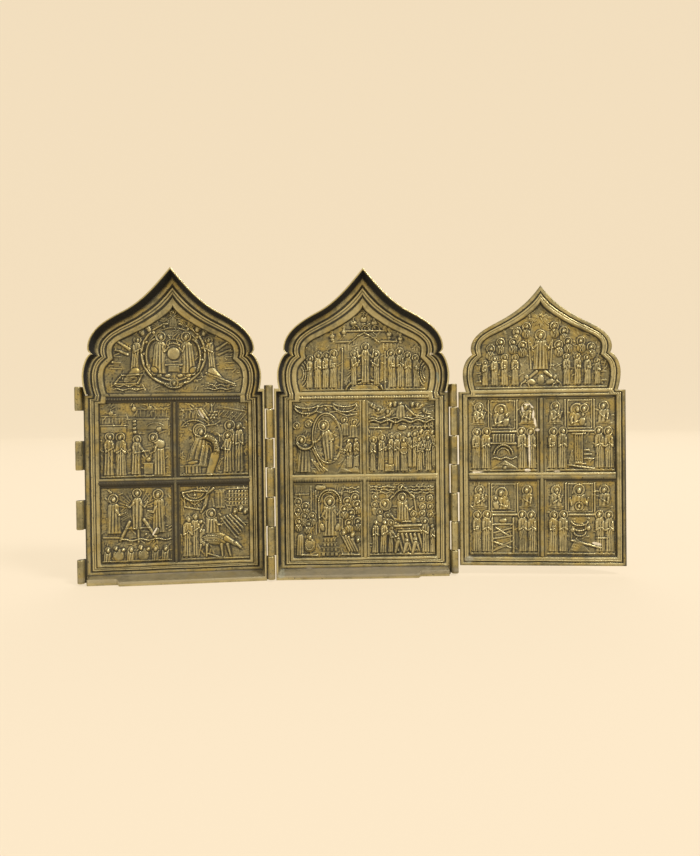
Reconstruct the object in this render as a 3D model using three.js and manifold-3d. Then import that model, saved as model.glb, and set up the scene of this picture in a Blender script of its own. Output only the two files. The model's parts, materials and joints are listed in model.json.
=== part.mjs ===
// A folding icon of cast brass: three gable-topped leaves, joined side by side by two pinned hinges.
// The left and middle leaves are shallow trays, and the right leaf is a thin plate that folds into
// the middle one. A fourth leaf is lost, so four bare knuckles stand on the left leaf's outer edge.
//
// Millimetres, +Z up, the carved fronts facing -Y. Each leaf is drawn lying flat, with u to its
// right, v up from the base and w out of its face, and is then stood up about its hinge.
import * as THREE from 'three';
import { mergeVertices } from 'three/addons/utils/BufferGeometryUtils.js';
import Module from 'manifold-3d';

// Leaf plates
const FACE = 4.0; // thickness of a plate, and the level of its mouldings
const FIELD = 2.4; // level of the sunk ground that the figures stand on
const SHOULDER = 104.4; // where the straight sides end and the gable starts
const TRAY_EDGE = 48.8; // half width of a tray leaf on its plain side
const PLATE_EDGE = 46.4; // half width of the right leaf
const PLATE_BASE = 5.0; // the right leaf's bottom edge hangs this far above the trays' base

// Gable outline: apex, hollow slope, upper lobe, cusp, lower lobe. Each control point is
// [u, v, outward u, outward v] on the right half, so that one offset makes every parallel moulding.
const GABLE_CURVES = [
  [[0, 164, 0, 1.69], [5.6, 156, 0.8, 0.9], [13, 149.6, 0.62, 0.85], [22.5, 144.7, 0.46, 0.88]],
  [[22.5, 144.7, 0.46, 0.88], [31, 140.3, 0.46, 0.88], [39, 136.6, 1, 0.4], [39.1, 129, 1, 0]],
  [[39.1, 129, 1, 0], [39.1, 127.8, 1, 0], [38.8, 126.6, 1, 0.1], [38.2, 125.6, 0.98, 0.2]],
  [[38.2, 125.6, 0.98, 0.2], [41.4, 124.4, 0.7, 0.7], [43.8, 119.6, 1, 0.2], [43.8, 114.4, 1, 0]],
  [[43.8, 114.4, 1, 0], [43.8, 110.6, 1, 0], [43.1, 107.4, 1, 0], [42.1, SHOULDER, 1, 0]],
];
const CURVE_STEPS = [5, 5, 1, 4, 2];
const CUSP_CURVE = 2;

// Mouldings, as insets from a leaf's edge. A tray's gable spreads past the outline above by its spread
const GROOVE = { tray: 2.9, plate: 2.0, width: 0.5, level: 3.3 };
const GABLE_SPREAD = { tray: 3.7, plate: 0 };
const FIELD_INSET = { tray: 6.0, plate: 5.4 }; // from the gable outline itself
const GABLE_FIELD_BASE = 105.6;

// Sunk fields of the four scenes
const FIELD_INNER = 2.4;
const FIELD_OUTER = 40.6;
const FIELD_ROWS = [[10.7, 52.6], [58.2, 100.0]];

// Tray wall: stands up from the plate round the gable, down the hinge side and along the base
const WALL_TOP = 13.0;
// Offsets outwards from the gable outline, round the slopes and upper lobes and round the lower lobes
const WALL_FOOT = { inner: [3.8, 3.2], outer: [4.8, 4.2] };
const WALL_LIP = { inner: [5.2, 4.0], outer: [5.92, 4.8] };
const HINGE_WALL = { innerFoot: 48.2, outerFoot: 49.4, innerLip: 49.2, outerLip: 50.4 };
const HINGE_SHOULDER = { inner: 105.4, outer: 107.2 };
const BASE_WALL = { foot: 4.4, lip: 2.4, end: 46.0 };
const SWING_GAP = 0.4; // the wall starts this far above the shoulder that the folding leaf covers
// Beside the face hinge the wall is low, [v, w], so that the folding leaf swings in past it
const LOW_WALL = { start: [100, 9], turn: [118, 9], end: [141, WALL_TOP + 0.01], from: 30, to: 60 };

// Hinges
const KNUCKLE_RADIUS = 2.1;
const BORE_RADIUS = 1.15;
const PIN_RADIUS = 0.8;
const KNUCKLE_COUNT = 7;
const KNUCKLE_GAP = 0.3;
const HINGE_BOTTOM = 0.6;
const HINGE_TOP = 109.2;
const END_KNUCKLE = 13.4;
const WALL_HINGE = { reach: 52.9, level: 13.3 }; // left to middle leaf, along the top of the walls
const FACE_HINGE = { reach: 51.2, plateReach: 49.5, level: 5.0 }; // along the level of the faces
const WEB_THICKNESS = 2.2;

// How far both wings are swung forward of flat, so that the icon stands by itself
const WING_ANGLE = 6;

// Edges shorter than this, left where two cuts almost meet, are closed up
const SLIVER = 0.004;

const wasm = await Module();
wasm.setup();

// --- solids -------------------------------------------------------------------------------------

function solid(geometry) {
  const bare = new THREE.BufferGeometry();
  bare.setAttribute('position', geometry.getAttribute('position'));
  bare.setIndex(geometry.index);
  const merged = mergeVertices(bare, 1e-4);
  return new wasm.Manifold(new wasm.Mesh({
    numProp: 3,
    vertProperties: new Float32Array(merged.getAttribute('position').array),
    triVerts: new Uint32Array(merged.index.array),
  }));
}

function toGeometry(body) {
  const mesh = body.simplify(SLIVER).getMesh();
  const geometry = new THREE.BufferGeometry();
  geometry.setAttribute('position', new THREE.BufferAttribute(new Float32Array(mesh.vertProperties), 3));
  geometry.setIndex(new THREE.BufferAttribute(new Uint32Array(mesh.triVerts), 1));
  geometry.computeVertexNormals();
  return geometry;
}

function joined(bodies) {
  return bodies.reduce((whole, body) => whole.add(body));
}

function prism(outline, low, high) {
  const shape = new THREE.Shape(outline);
  const geometry = new THREE.ExtrudeGeometry(shape, { depth: high - low, bevelEnabled: false });
  geometry.translate(0, 0, low);
  return solid(geometry);
}

// A solid whose outline changes from one to another with the same number of points
function loft(lowOutline, low, highOutline, high) {
  const count = lowOutline.length;
  const positions = [];
  const index = [];
  for (const point of lowOutline) positions.push(point.x, point.y, low);
  for (const point of highOutline) positions.push(point.x, point.y, high);
  for (const [a, b, c] of THREE.ShapeUtils.triangulateShape(lowOutline, [])) {
    index.push(a, c, b);
  }
  for (const [a, b, c] of THREE.ShapeUtils.triangulateShape(highOutline, [])) {
    index.push(a + count, b + count, c + count);
  }
  for (let i = 0; i < count; i += 1) {
    const next = (i + 1) % count;
    index.push(i, next, next + count, i, next + count, i + count);
  }
  const geometry = new THREE.BufferGeometry();
  geometry.setAttribute('position', new THREE.Float32BufferAttribute(positions, 3));
  geometry.setIndex(index);
  return solid(geometry);
}

function block(left, bottom, right, top, low, high) {
  const geometry = new THREE.BoxGeometry(right - left, top - bottom, high - low);
  geometry.translate((left + right) / 2, (bottom + top) / 2, (low + high) / 2);
  return solid(geometry);
}

function rod(u, low, high, level, radius, sides) {
  const geometry = new THREE.CylinderGeometry(radius, radius, high - low, sides);
  geometry.translate(u, (low + high) / 2, level);
  return solid(geometry);
}

// --- outlines -----------------------------------------------------------------------------------

// Right half of the gable, from the apex down to the end of the lower lobe. The offset is one number
// or a pair, for above the cusp and for below it, and it changes over between them at the cusp.
function gableHalf(offset) {
  const [above, below] = Array.isArray(offset) ? offset : [offset, offset];
  const points = [];
  GABLE_CURVES.forEach((controls, i) => {
    const moved = controls.map(([u, v, outU, outV], j) => {
      const share = i === CUSP_CURVE ? j / 3 : Number(i > CUSP_CURVE);
      const out = above + (below - above) * share;
      return new THREE.Vector2(u + outU * out, v + outV * out);
    });
    const curve = new THREE.CubicBezierCurve(...moved);
    points.push(...curve.getPoints(CURVE_STEPS[i]).slice(i === 0 ? 0 : 1));
  });
  return points;
}

// The whole outline of a leaf, anticlockwise from its lower left corner
function leafOutline({ offset, left, right, bottom, leftShoulder, rightShoulder }) {
  const half = gableHalf(offset);
  const rightLobe = half.slice(0, -1);
  const end = half[half.length - 1];
  const outline = [
    new THREE.Vector2(left, bottom),
    new THREE.Vector2(right, bottom),
    new THREE.Vector2(right, rightShoulder),
    new THREE.Vector2(end.x, rightShoulder),
    ...rightLobe.slice().reverse(),
    ...rightLobe.slice(1).map((point) => new THREE.Vector2(-point.x, point.y)),
    new THREE.Vector2(-end.x, leftShoulder),
    new THREE.Vector2(left, leftShoulder),
  ];
  return outline;
}

// An even band's outline: the same inset on both sides
function mouldingOutline(inset, edge, bottom, spread) {
  return leafOutline({
    offset: spread - inset,
    left: -edge + inset,
    right: edge - inset,
    bottom: bottom + inset,
    leftShoulder: SHOULDER - inset,
    rightShoulder: SHOULDER - inset,
  });
}

// --- relief: generic figures and furniture ------------------------------------------------------

const RELIEF = { low: 0.5, middle: 0.85, high: 1.2 };
const ROOT = 0.3; // how deep each relief piece is set into the ground

function relief(outline, height) {
  return prism(outline, FIELD - ROOT, FIELD + height);
}

function disc(u, v, radius, height, sides = 8, squash = 1) {
  const outline = [];
  for (let i = 0; i < sides; i += 1) {
    const angle = (2 * Math.PI * (i + 0.5)) / sides;
    outline.push(new THREE.Vector2(u + radius * Math.cos(angle), v + squash * radius * Math.sin(angle)));
  }
  return relief(outline, height);
}

function hoop(u, v, radius, width, height, sides = 16, squash = 1) {
  const outer = disc(u, v, radius, height, sides, squash);
  const inner = disc(u, v, radius - width, height + 1, sides, squash);
  return outer.subtract(inner);
}

function slab(left, bottom, right, top, height) {
  return block(left, bottom, right, top, FIELD - ROOT, FIELD + height);
}

// A robed standing figure: hem at v, tall in height, leaning sideways by lean at the shoulders
function figure(u, v, tall, { lean = 0, halo = true } = {}) {
  const hem = 0.17 * tall;
  const waist = 0.12 * tall;
  const shoulder = 0.15 * tall;
  const side = (sign) => [
    [sign * hem, 0],
    ...(halo ? [[sign * waist + lean * 0.5, 0.5 * tall]] : []),
    [sign * shoulder + lean * 0.9, 0.74 * tall],
  ];
  const path = [...side(1), ...side(-1).reverse()];
  const robe = path.map(([x, y]) => new THREE.Vector2(u + x, v + y));
  const head = disc(u + lean * 1.1, v + 0.88 * tall, 0.08 * tall, RELIEF.high, halo ? 6 : 5);
  const pieces = [relief(robe, RELIEF.middle), head];
  if (halo) pieces.push(disc(u + lean * 1.1, v + 0.88 * tall, 0.14 * tall, RELIEF.low));
  return pieces;
}

// Figures standing side by side, plainer than the ones that stand alone
function row(left, right, count, v, tall, { lean = 0 } = {}) {
  const pieces = [];
  for (let i = 0; i < count; i += 1) {
    const u = left + ((right - left) * i) / Math.max(1, count - 1);
    pieces.push(...figure(u, v, tall, { lean, halo: false }));
  }
  return pieces;
}

function hill(left, right, v, peak, lean) {
  const outline = [
    new THREE.Vector2(left, v), new THREE.Vector2(right, v),
    new THREE.Vector2((left + right) / 2 + lean, v + peak),
  ];
  return relief(outline, RELIEF.low);
}

// Left leaf: gable with a great medallion, and four scenes
function leftGable() {
  const centre = 127.3;
  return [
    hoop(0, centre, 17.4, 2.2, RELIEF.middle),
    disc(0, centre - 1.4, 3.3, RELIEF.high, 8),
    ...figure(-8, centre - 10, 20, { lean: 1.5 }), ...figure(8, centre - 10, 20, { lean: -1.5 }),
    disc(0, 110.4, 3, RELIEF.middle, 8), disc(0, 146.8, 2.6, RELIEF.middle, 6),
    ...figure(-23, 116, 21, { lean: 3 }), ...figure(23, 116, 21, { lean: -3 }),
    slab(-34, 108, -24, 113, RELIEF.low), slab(24, 108, 34, 113, RELIEF.low),
  ];
}

function leftScenes() {
  const [lower, upper] = FIELD_ROWS.map(([bottom]) => bottom);
  return [
    slab(-38, upper + 34, -6, upper + 38, RELIEF.low), ...row(-35, -20, 3, upper + 3, 27),
    ...figure(-8, upper + 3, 26, { lean: -2.5 }),
    ...figure(16, upper + 4, 30, { lean: -4 }), ...figure(33, upper + 4, 31, { lean: -1 }),
    ...figure(26, upper + 6, 24, { lean: -1 }), slab(5, upper + 3, 11, upper + 9, RELIEF.low),
    ...figure(-21.5, lower + 15, 25), ...figure(-34, lower + 13, 20, { lean: 1 }),
    ...figure(-9, lower + 14, 21, { lean: -1 }), slab(-39, lower + 11.4, -4, lower + 12.6, RELIEF.low),
    ...row(-33, -10, 3, lower + 1.5, 9, { lean: 1.2 }),
    hill(5, 22, lower + 22, 16, -2), slab(25, lower + 27, 39, lower + 36, RELIEF.low),
    slab(14, lower + 10, 29, lower + 15, RELIEF.middle), ...figure(21, lower + 12, 18),
    ...row(6.5, 10.5, 2, lower + 4, 22), ...row(31.5, 36.5, 2, lower + 5, 21),
  ];
}

// Middle leaf: gable with a church and saints, and four scenes
function middleGable() {
  return [
    slab(-11, 136.4, 11, 138, RELIEF.middle),
    ...[-7, 0, 7].map((u) => disc(u, 141, 2.7, RELIEF.middle, 8)),
    slab(-20, 129, -9, 130.4, RELIEF.low), slab(9, 129, 20, 130.4, RELIEF.low),
    ...figure(0, 109, 24), ...figure(-7, 109, 21), ...figure(7, 109, 21),
    ...row(-31, -17, 2, 107.5, 21), ...row(17, 31, 3, 107.5, 21),
    slab(-9, 107, 9, 108.6, RELIEF.low),
  ];
}

function middleScenes() {
  const [lower, upper] = FIELD_ROWS.map(([bottom]) => bottom);
  return [
    hoop(-21, upper + 20, 9, 1.3, RELIEF.middle, 14, 1.5), ...figure(-21, upper + 9, 23, { lean: -1 }),
    ...row(-37, -33, 2, upper + 3, 22, { lean: 1 }), ...row(-9.5, -6, 2, upper + 3, 22),
    slab(5, upper + 33, 38, upper + 34.6, RELIEF.low), disc(20.5, upper + 30, 3, RELIEF.middle),
    ...row(6.5, 14, 2, upper + 3, 25), ...figure(20.8, upper + 3, 22), ...row(28, 35.5, 2, upper + 3, 25),
    hoop(-21, lower + 31, 7.5, 1.2, RELIEF.middle, 12), ...figure(-21, lower + 14, 22),
    ...row(-36.5, -30, 2, lower + 13, 20), ...row(-12.6, -6, 2, lower + 13, 20),
    slab(-25, lower + 3, -17, lower + 10, RELIEF.low),
    slab(8, lower + 13, 35, lower + 17, RELIEF.middle), ...figure(22, lower + 15, 20),
    ...row(6.5, 14, 2, lower + 12, 22), ...row(29, 37, 2, lower + 12, 22),
    ...row(10, 33, 3, lower + 1.5, 10),
  ];
}

// Right leaf: gable with a central figure, and four scenes of alike plan
function rightGable() {
  const arc = [];
  for (const angle of [28, 50, 72, 108, 130, 152]) {
    const turn = THREE.MathUtils.degToRad(angle);
    arc.push(disc(19 * Math.cos(turn), 122.5 + 16 * Math.sin(turn), 2.4, RELIEF.middle, 6));
  }
  return [
    ...arc, ...figure(0, 112, 23), ...row(-27, -15, 3, 107, 18), ...row(15, 27, 3, 107, 18),
    disc(0, 147, 2.2, RELIEF.middle), slab(-8, 107, 8, 109.4, RELIEF.low),
  ];
}

function rightScene(left, bottom) {
  const centre = left + (FIELD_OUTER - FIELD_INNER) / 2;
  const cellBase = bottom + 27.4;
  const cellTop = bottom + 40.6;
  return [
    slab(centre - 18.6, cellBase - 0.9, centre + 18.6, cellBase, RELIEF.low),
    ...[-6, 6].map((u) => slab(centre + u - 0.5, cellBase, centre + u + 0.5, cellTop, RELIEF.low)),
    ...[-12, 0, 12].map((u) => disc(centre + u, cellBase + 6, 3.4, RELIEF.middle)),
    ...row(centre - 15, centre - 9, 2, bottom + 2.5, 22),
    ...row(centre + 9, centre + 15, 2, bottom + 2.5, 22),
    slab(centre - 5, bottom + 4, centre + 5, bottom + 9, RELIEF.low),
  ];
}

function rightScenes() {
  return FIELD_ROWS.flatMap(([bottom]) => [
    ...rightScene(-FIELD_OUTER, bottom), ...rightScene(FIELD_INNER, bottom),
  ]);
}

// --- hinges -------------------------------------------------------------------------------------

// [low, high] of every knuckle from the top down
function knuckleSpans() {
  const middle = (HINGE_TOP - HINGE_BOTTOM - 2 * END_KNUCKLE) / (KNUCKLE_COUNT - 2);
  const spans = [];
  let high = HINGE_TOP;
  for (let i = 0; i < KNUCKLE_COUNT; i += 1) {
    const isEnd = i === 0 || i === KNUCKLE_COUNT - 1;
    const low = high - (isEnd ? END_KNUCKLE : middle);
    spans.push([low + KNUCKLE_GAP / 2, high - KNUCKLE_GAP / 2]);
    high = low;
  }
  return spans;
}

// Every second knuckle, cast on its leaf by a web that reaches in to the leaf's edge
function knuckles(axisU, level, webU, webLow, first) {
  const bodies = [];
  knuckleSpans().forEach(([low, high], i) => {
    if (i % 2 !== first) return;
    bodies.push(rod(axisU, low, high, level, KNUCKLE_RADIUS, 12));
    const [left, right] = [Math.min(axisU, webU), Math.max(axisU, webU)];
    bodies.push(block(left, low, right, high, webLow, webLow + WEB_THICKNESS));
  });
  return joined(bodies);
}

function boreOut(body, axisU, level) {
  return body.subtract(rod(axisU, HINGE_BOTTOM - 2, HINGE_TOP + 2, level, BORE_RADIUS, 10));
}

// --- leaves -------------------------------------------------------------------------------------

// What is cut off the wall beside the face hinge
function lowWallCut() {
  const { start, turn, end, from, to } = LOW_WALL;
  const top = WALL_TOP + 1;
  const profile = [start, turn, end, [end[0], top], [start[0], top]];
  const outline = profile.map(([v, w]) => new THREE.Vector2(-w, v));
  return prism(outline, from, to).rotate([0, 90, 0]);
}

// The tray leaf drawn with its wall and wall hinge on the left
function trayBody() {
  const foot = leafOutline({
    offset: WALL_FOOT.outer, left: -HINGE_WALL.outerFoot, right: TRAY_EDGE, bottom: 0,
    leftShoulder: HINGE_SHOULDER.outer, rightShoulder: SHOULDER,
  });
  const lip = leafOutline({
    offset: WALL_LIP.outer, left: -HINGE_WALL.outerLip, right: TRAY_EDGE, bottom: 0,
    leftShoulder: HINGE_SHOULDER.outer, rightShoulder: SHOULDER,
  });
  const past = TRAY_EDGE + 5;
  const hollowFoot = leafOutline({
    offset: WALL_FOOT.inner, left: -HINGE_WALL.innerFoot, right: past,
    bottom: BASE_WALL.foot, leftShoulder: HINGE_SHOULDER.inner, rightShoulder: SHOULDER + SWING_GAP,
  });
  const hollowLip = leafOutline({
    offset: WALL_LIP.inner, left: -HINGE_WALL.innerLip, right: past,
    bottom: BASE_WALL.lip, leftShoulder: HINGE_SHOULDER.inner, rightShoulder: SHOULDER + SWING_GAP,
  });
  const baseEnd = block(BASE_WALL.end, -1, past, SHOULDER + 0.5, FACE, WALL_TOP + 1);
  return loft(foot, 0, lip, WALL_TOP)
    .subtract(loft(hollowFoot, FACE, hollowLip, WALL_TOP + 0.01))
    .subtract(baseEnd)
    .subtract(lowWallCut());
}

function sunkFields(gableInset) {
  const bodies = [];
  for (const [bottom, top] of FIELD_ROWS) {
    bodies.push(block(-FIELD_OUTER, bottom, -FIELD_INNER, top, FIELD, WALL_TOP));
    bodies.push(block(FIELD_INNER, bottom, FIELD_OUTER, top, FIELD, WALL_TOP));
  }
  const half = gableHalf(-gableInset).slice(0, -1);
  const gable = [
    new THREE.Vector2(half[half.length - 1].x - 0.8, GABLE_FIELD_BASE),
    ...half.slice().reverse(),
    ...half.slice(1).map((point) => new THREE.Vector2(-point.x, point.y)),
    new THREE.Vector2(-half[half.length - 1].x + 0.8, GABLE_FIELD_BASE),
  ];
  bodies.push(prism(gable, FIELD, WALL_TOP));
  return joined(bodies);
}

function moulding(kind, edge, bottom) {
  const inset = GROOVE[kind];
  const spread = GABLE_SPREAD[kind];
  const outer = mouldingOutline(inset, edge, bottom, spread);
  const inner = mouldingOutline(inset + GROOVE.width, edge, bottom, spread);
  return prism(outer, GROOVE.level, FACE + 1).subtract(prism(inner, GROOVE.level - 1, FACE + 2));
}

function trayLeaf(side, carving) {
  let body = trayBody().subtract(moulding('tray', TRAY_EDGE, BASE_WALL.foot));
  const wallKnuckles = knuckles(
    -WALL_HINGE.reach, WALL_HINGE.level, -HINGE_WALL.outerLip + 0.6,
    WALL_HINGE.level - KNUCKLE_RADIUS, side === 'left' ? 0 : 1,
  );
  const faceKnuckles = knuckles(
    FACE_HINGE.reach, FACE_HINGE.level, TRAY_EDGE - 0.3, FACE - WEB_THICKNESS, 0,
  );
  body = boreOut(body.add(wallKnuckles), -WALL_HINGE.reach, WALL_HINGE.level);
  body = boreOut(body.add(faceKnuckles), FACE_HINGE.reach, FACE_HINGE.level);
  if (side === 'left') body = body.scale([-1, 1, 1]);
  return body.subtract(sunkFields(FIELD_INSET.tray)).add(joined(carving));
}

function plateLeaf(carving) {
  const outline = mouldingOutline(0, PLATE_EDGE, PLATE_BASE, GABLE_SPREAD.plate);
  const face = mouldingOutline(0.5, PLATE_EDGE, PLATE_BASE, GABLE_SPREAD.plate);
  let body = prism(outline, 0, FACE - 0.6).add(loft(outline, FACE - 0.6, face, FACE));
  body = body.subtract(moulding('plate', PLATE_EDGE, PLATE_BASE));
  const plateKnuckles = knuckles(
    -FACE_HINGE.plateReach, FACE_HINGE.level, -PLATE_EDGE + 0.3, FACE - WEB_THICKNESS, 1,
  );
  body = boreOut(body.add(plateKnuckles), -FACE_HINGE.plateReach, FACE_HINGE.level);
  return body.subtract(sunkFields(FIELD_INSET.plate)).add(joined(carving));
}

// --- the folding icon ---------------------------------------------------------------------------

const brass = { left: 0x9a7f45, middle: 0x98803f, right: 0xa08748, pin: 0x7d6a3c };

function named(name, geometry, color) {
  const material = new THREE.MeshStandardMaterial({ color, roughness: 0.45, metalness: 0.9 });
  const mesh = new THREE.Mesh(geometry, material);
  mesh.name = name;
  mesh.rotation.x = Math.PI / 2;
  return mesh;
}

const leftLeaf = named(
  'left_leaf', toGeometry(trayLeaf('left', [...leftGable(), ...leftScenes()])), brass.left,
);
const middleLeaf = named(
  'middle_leaf', toGeometry(trayLeaf('middle', [...middleGable(), ...middleScenes()])), brass.middle,
);
const rightLeaf = named(
  'right_leaf', toGeometry(plateLeaf([...rightGable(), ...rightScenes()])), brass.right,
);

// Each pin stays inside its knuckles, just short of both ends
function pin(name) {
  const length = HINGE_TOP - HINGE_BOTTOM - 0.8;
  const mesh = named(name, new THREE.CylinderGeometry(PIN_RADIUS, PIN_RADIUS, length, 12), brass.pin);
  mesh.position.z = (HINGE_TOP + HINGE_BOTTOM) / 2;
  return mesh;
}

// The wings hang on their hinge axes, each swung forward
const leftWing = new THREE.Group();
leftWing.position.set(-WALL_HINGE.reach, -WALL_HINGE.level, 0);
leftWing.rotation.z = THREE.MathUtils.degToRad(WING_ANGLE);
leftLeaf.position.set(-WALL_HINGE.reach, WALL_HINGE.level, 0);
leftWing.add(leftLeaf, pin('left_hinge_pin'));

const rightWing = new THREE.Group();
rightWing.position.set(FACE_HINGE.reach, -FACE_HINGE.level, 0);
rightWing.rotation.z = THREE.MathUtils.degToRad(-WING_ANGLE);
rightLeaf.position.set(FACE_HINGE.plateReach, FACE_HINGE.level, 0);
rightWing.add(rightLeaf, pin('right_hinge_pin'));

const foldingIcon = new THREE.Group();
foldingIcon.add(middleLeaf, leftWing, rightWing);

// The origin is the middle of the base
foldingIcon.updateMatrixWorld(true);
const box = new THREE.Box3().setFromObject(foldingIcon, true);
const centre = box.getCenter(new THREE.Vector3());
foldingIcon.position.set(-centre.x, -centre.y, -box.min.z);

export default foldingIcon;
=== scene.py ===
"""A folding icon of cast brass: three gable-topped leaves joined by two pinned hinges."""
import json
import math

import bpy
import numpy as np
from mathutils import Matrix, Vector


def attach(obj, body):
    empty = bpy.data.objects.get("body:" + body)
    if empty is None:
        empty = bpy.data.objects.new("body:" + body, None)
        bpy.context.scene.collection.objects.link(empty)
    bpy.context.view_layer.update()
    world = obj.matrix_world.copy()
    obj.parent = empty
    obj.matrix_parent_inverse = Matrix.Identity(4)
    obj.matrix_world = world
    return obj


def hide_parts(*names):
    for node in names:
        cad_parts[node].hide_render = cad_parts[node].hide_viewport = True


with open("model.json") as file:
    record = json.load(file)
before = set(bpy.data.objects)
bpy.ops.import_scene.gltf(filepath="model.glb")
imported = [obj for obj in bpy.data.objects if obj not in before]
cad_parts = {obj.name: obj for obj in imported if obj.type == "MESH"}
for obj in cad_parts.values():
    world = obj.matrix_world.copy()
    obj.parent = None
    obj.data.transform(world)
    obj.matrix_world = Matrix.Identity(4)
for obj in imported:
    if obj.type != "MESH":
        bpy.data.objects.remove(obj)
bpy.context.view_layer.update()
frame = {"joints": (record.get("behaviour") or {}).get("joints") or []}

# --- Camera -------------------------------------------------------------------------------------
# A hand-held viewpoint straight in front of the middle leaf, a little above half its height, with
# the three leaves filling the width of the picture.
camera = bpy.data.objects.new("camera", bpy.data.cameras.new("camera"))
camera.location = (-0.01061, -0.39184, 0.08970)
camera.rotation_euler = [math.radians(angle) for angle in (89.260, 0.674, -1.259)]
camera.data.sensor_width = 36
camera.data.lens = 29.44
camera.data.clip_start = 0.01
bpy.context.scene.collection.objects.link(camera)
bpy.context.scene.camera = camera

# --- The three leaves' castings -----------------------------------------------------------------
# Each leaf is one sand casting of brass. The left and middle ones are shallow trays, with a wall
# that flares out round the gable, down one side and along the base. The right one is a flat plate.
# Sizes are in millimetres on a leaf lying flat: u to its right, v up from its base, w out of it.
MM = 0.001
FACE = 4.0                        # level of the mouldings
GROUND = 2.4                      # level of the sunk grounds that the figures stand on
SHOULDER = 104.4                  # the straight sides end here and the gable starts
TRAY_EDGE = 48.8                  # half width of a tray on its plain side
PLATE_EDGE = 46.4
PLATE_BASE = 5.0                  # the plate hangs this far above the trays' base
WALL_TOP = 13.0
# The wall's lines, as offsets outwards from the gable's: above the cusp and below it
FOOT = {"inner": (3.8, 3.2), "outer": (4.8, 4.2)}
LIP = {"inner": (5.2, 4.0), "outer": (5.92, 4.8)}
HINGE_SIDE = {"inner_foot": 48.2, "outer_foot": 49.4, "inner_lip": 49.2, "outer_lip": 50.4}
HINGE_SHOULDER = {"inner": 105.4, "outer": 107.2}
BASE_WALL = {"foot": 4.4, "lip": 2.4}
WALL_HINGE = {"reach": 52.9, "level": 13.3}
FACE_HINGE = {"reach": 51.2, "plate_reach": 49.5, "level": 5.0}
WING_ANGLE = 6.0                  # both wings are swung forward by this much, and so it stands


class Leaf:
    """Where one leaf stands: its hinge's axis, its turn, and that axis in the leaf's own sizes."""

    def __init__(self, name, joint, reach, level, turn, darkening=0.0):
        hinge = next(j for j in frame["joints"] if j["name"] == joint)["pos_m"]
        self.name = name
        self.body = name
        self.node = name + "_leaf"
        self.hinge = hinge
        self.reach = reach
        self.level = level
        self.turn = math.radians(turn)
        self.darkening = darkening

    def stand(self, u, v, w):
        """Points on the leaf as points in the row frame, in metres."""
        x = (np.asarray(u, float) - self.reach) * MM
        y = (self.level - np.asarray(w, float)) * MM
        c, s = math.cos(self.turn), math.sin(self.turn)
        return np.stack([
            self.hinge[0] + c * x - s * y,
            self.hinge[1] + s * x + c * y,
            np.asarray(v, float) * MM + 0 * x,
        ], -1)


left_leaf = Leaf("left", "left_hinge", WALL_HINGE["reach"], WALL_HINGE["level"], WING_ANGLE, 0.12)
middle_leaf = Leaf("middle", "left_hinge", -WALL_HINGE["reach"], WALL_HINGE["level"], 0)
right_leaf = Leaf("right", "right_hinge", -FACE_HINGE["plate_reach"], FACE_HINGE["level"], -WING_ANGLE)

# The gable's right half from the apex down: hollow slope, upper lobe, cusp and lower lobe. A control
# point is (u, v, outward u, outward v), so that one offset draws every line parallel to the edge.
GABLE = (
    ((0, 164, 0, 1.69), (5.6, 156, 0.8, 0.9), (13, 149.6, 0.62, 0.85), (22.5, 144.7, 0.46, 0.88)),
    ((22.5, 144.7, 0.46, 0.88), (31, 140.3, 0.46, 0.88), (39, 136.6, 1, 0.4), (39.1, 129, 1, 0)),
    ((39.1, 129, 1, 0), (39.1, 127.8, 1, 0), (38.8, 126.6, 1, 0.1), (38.2, 125.6, 0.98, 0.2)),
    ((38.2, 125.6, 0.98, 0.2), (41.4, 124.4, 0.7, 0.7), (43.8, 119.6, 1, 0.2), (43.8, 114.4, 1, 0)),
    ((43.8, 114.4, 1, 0), (43.8, 110.6, 1, 0), (43.1, 107.4, 1, 0), (42.1, SHOULDER, 1, 0)),
)
GABLE_STEPS = (90, 72, 10, 44, 30)
CUSP_CURVE = 2


def gable_half(offset, steps=GABLE_STEPS):
    """The gable's right half from the apex to the shoulder, offset by one amount or by a pair."""
    above, below = offset if isinstance(offset, tuple) else (offset, offset)
    parts = []
    for i, (controls, count) in enumerate(zip(GABLE, steps)):
        controls = np.array(controls, float)
        share = np.linspace(0, 1, 4) if i == CUSP_CURVE else np.full(4, float(i > CUSP_CURVE))
        points = controls[:, :2] + (above + (below - above) * share)[:, None] * controls[:, 2:]
        t = np.linspace(0, 1, count + 1)[1 if parts else 0:, None]
        parts.append((1 - t) ** 3 * points[0] + 3 * t * (1 - t) ** 2 * points[1]
                     + 3 * t * t * (1 - t) * points[2] + t ** 3 * points[3])
    return np.vstack(parts)


BASE_STEPS = 60
CORNER_STEPS = 3
SIDE_STEPS = 70
SHOULDER_STEPS = 8
CORNER = 1.4                      # a tray's base wall stops this far short of its plain side


def mix(a, b, share):
    return a + (b - a) * share


def lifted(half, shoulder):
    """The gable's line, ended where it meets a shoulder that is above its foot."""
    tail = half[:-13:-1]
    end = (np.interp(shoulder, tail[:, 1], tail[:, 0]), shoulder)
    return np.where(half[:, 1:] < shoulder, end, half)


def straight_runs(corners, counts):
    """Evenly spaced points from each corner up to the next one."""
    corners = np.array(corners, float)
    shares = (np.linspace(0, 1, count, endpoint=False)[:, None] for count in counts)
    return [mix(*ends) for ends in zip(corners[:-1], corners[1:], shares)]


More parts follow.
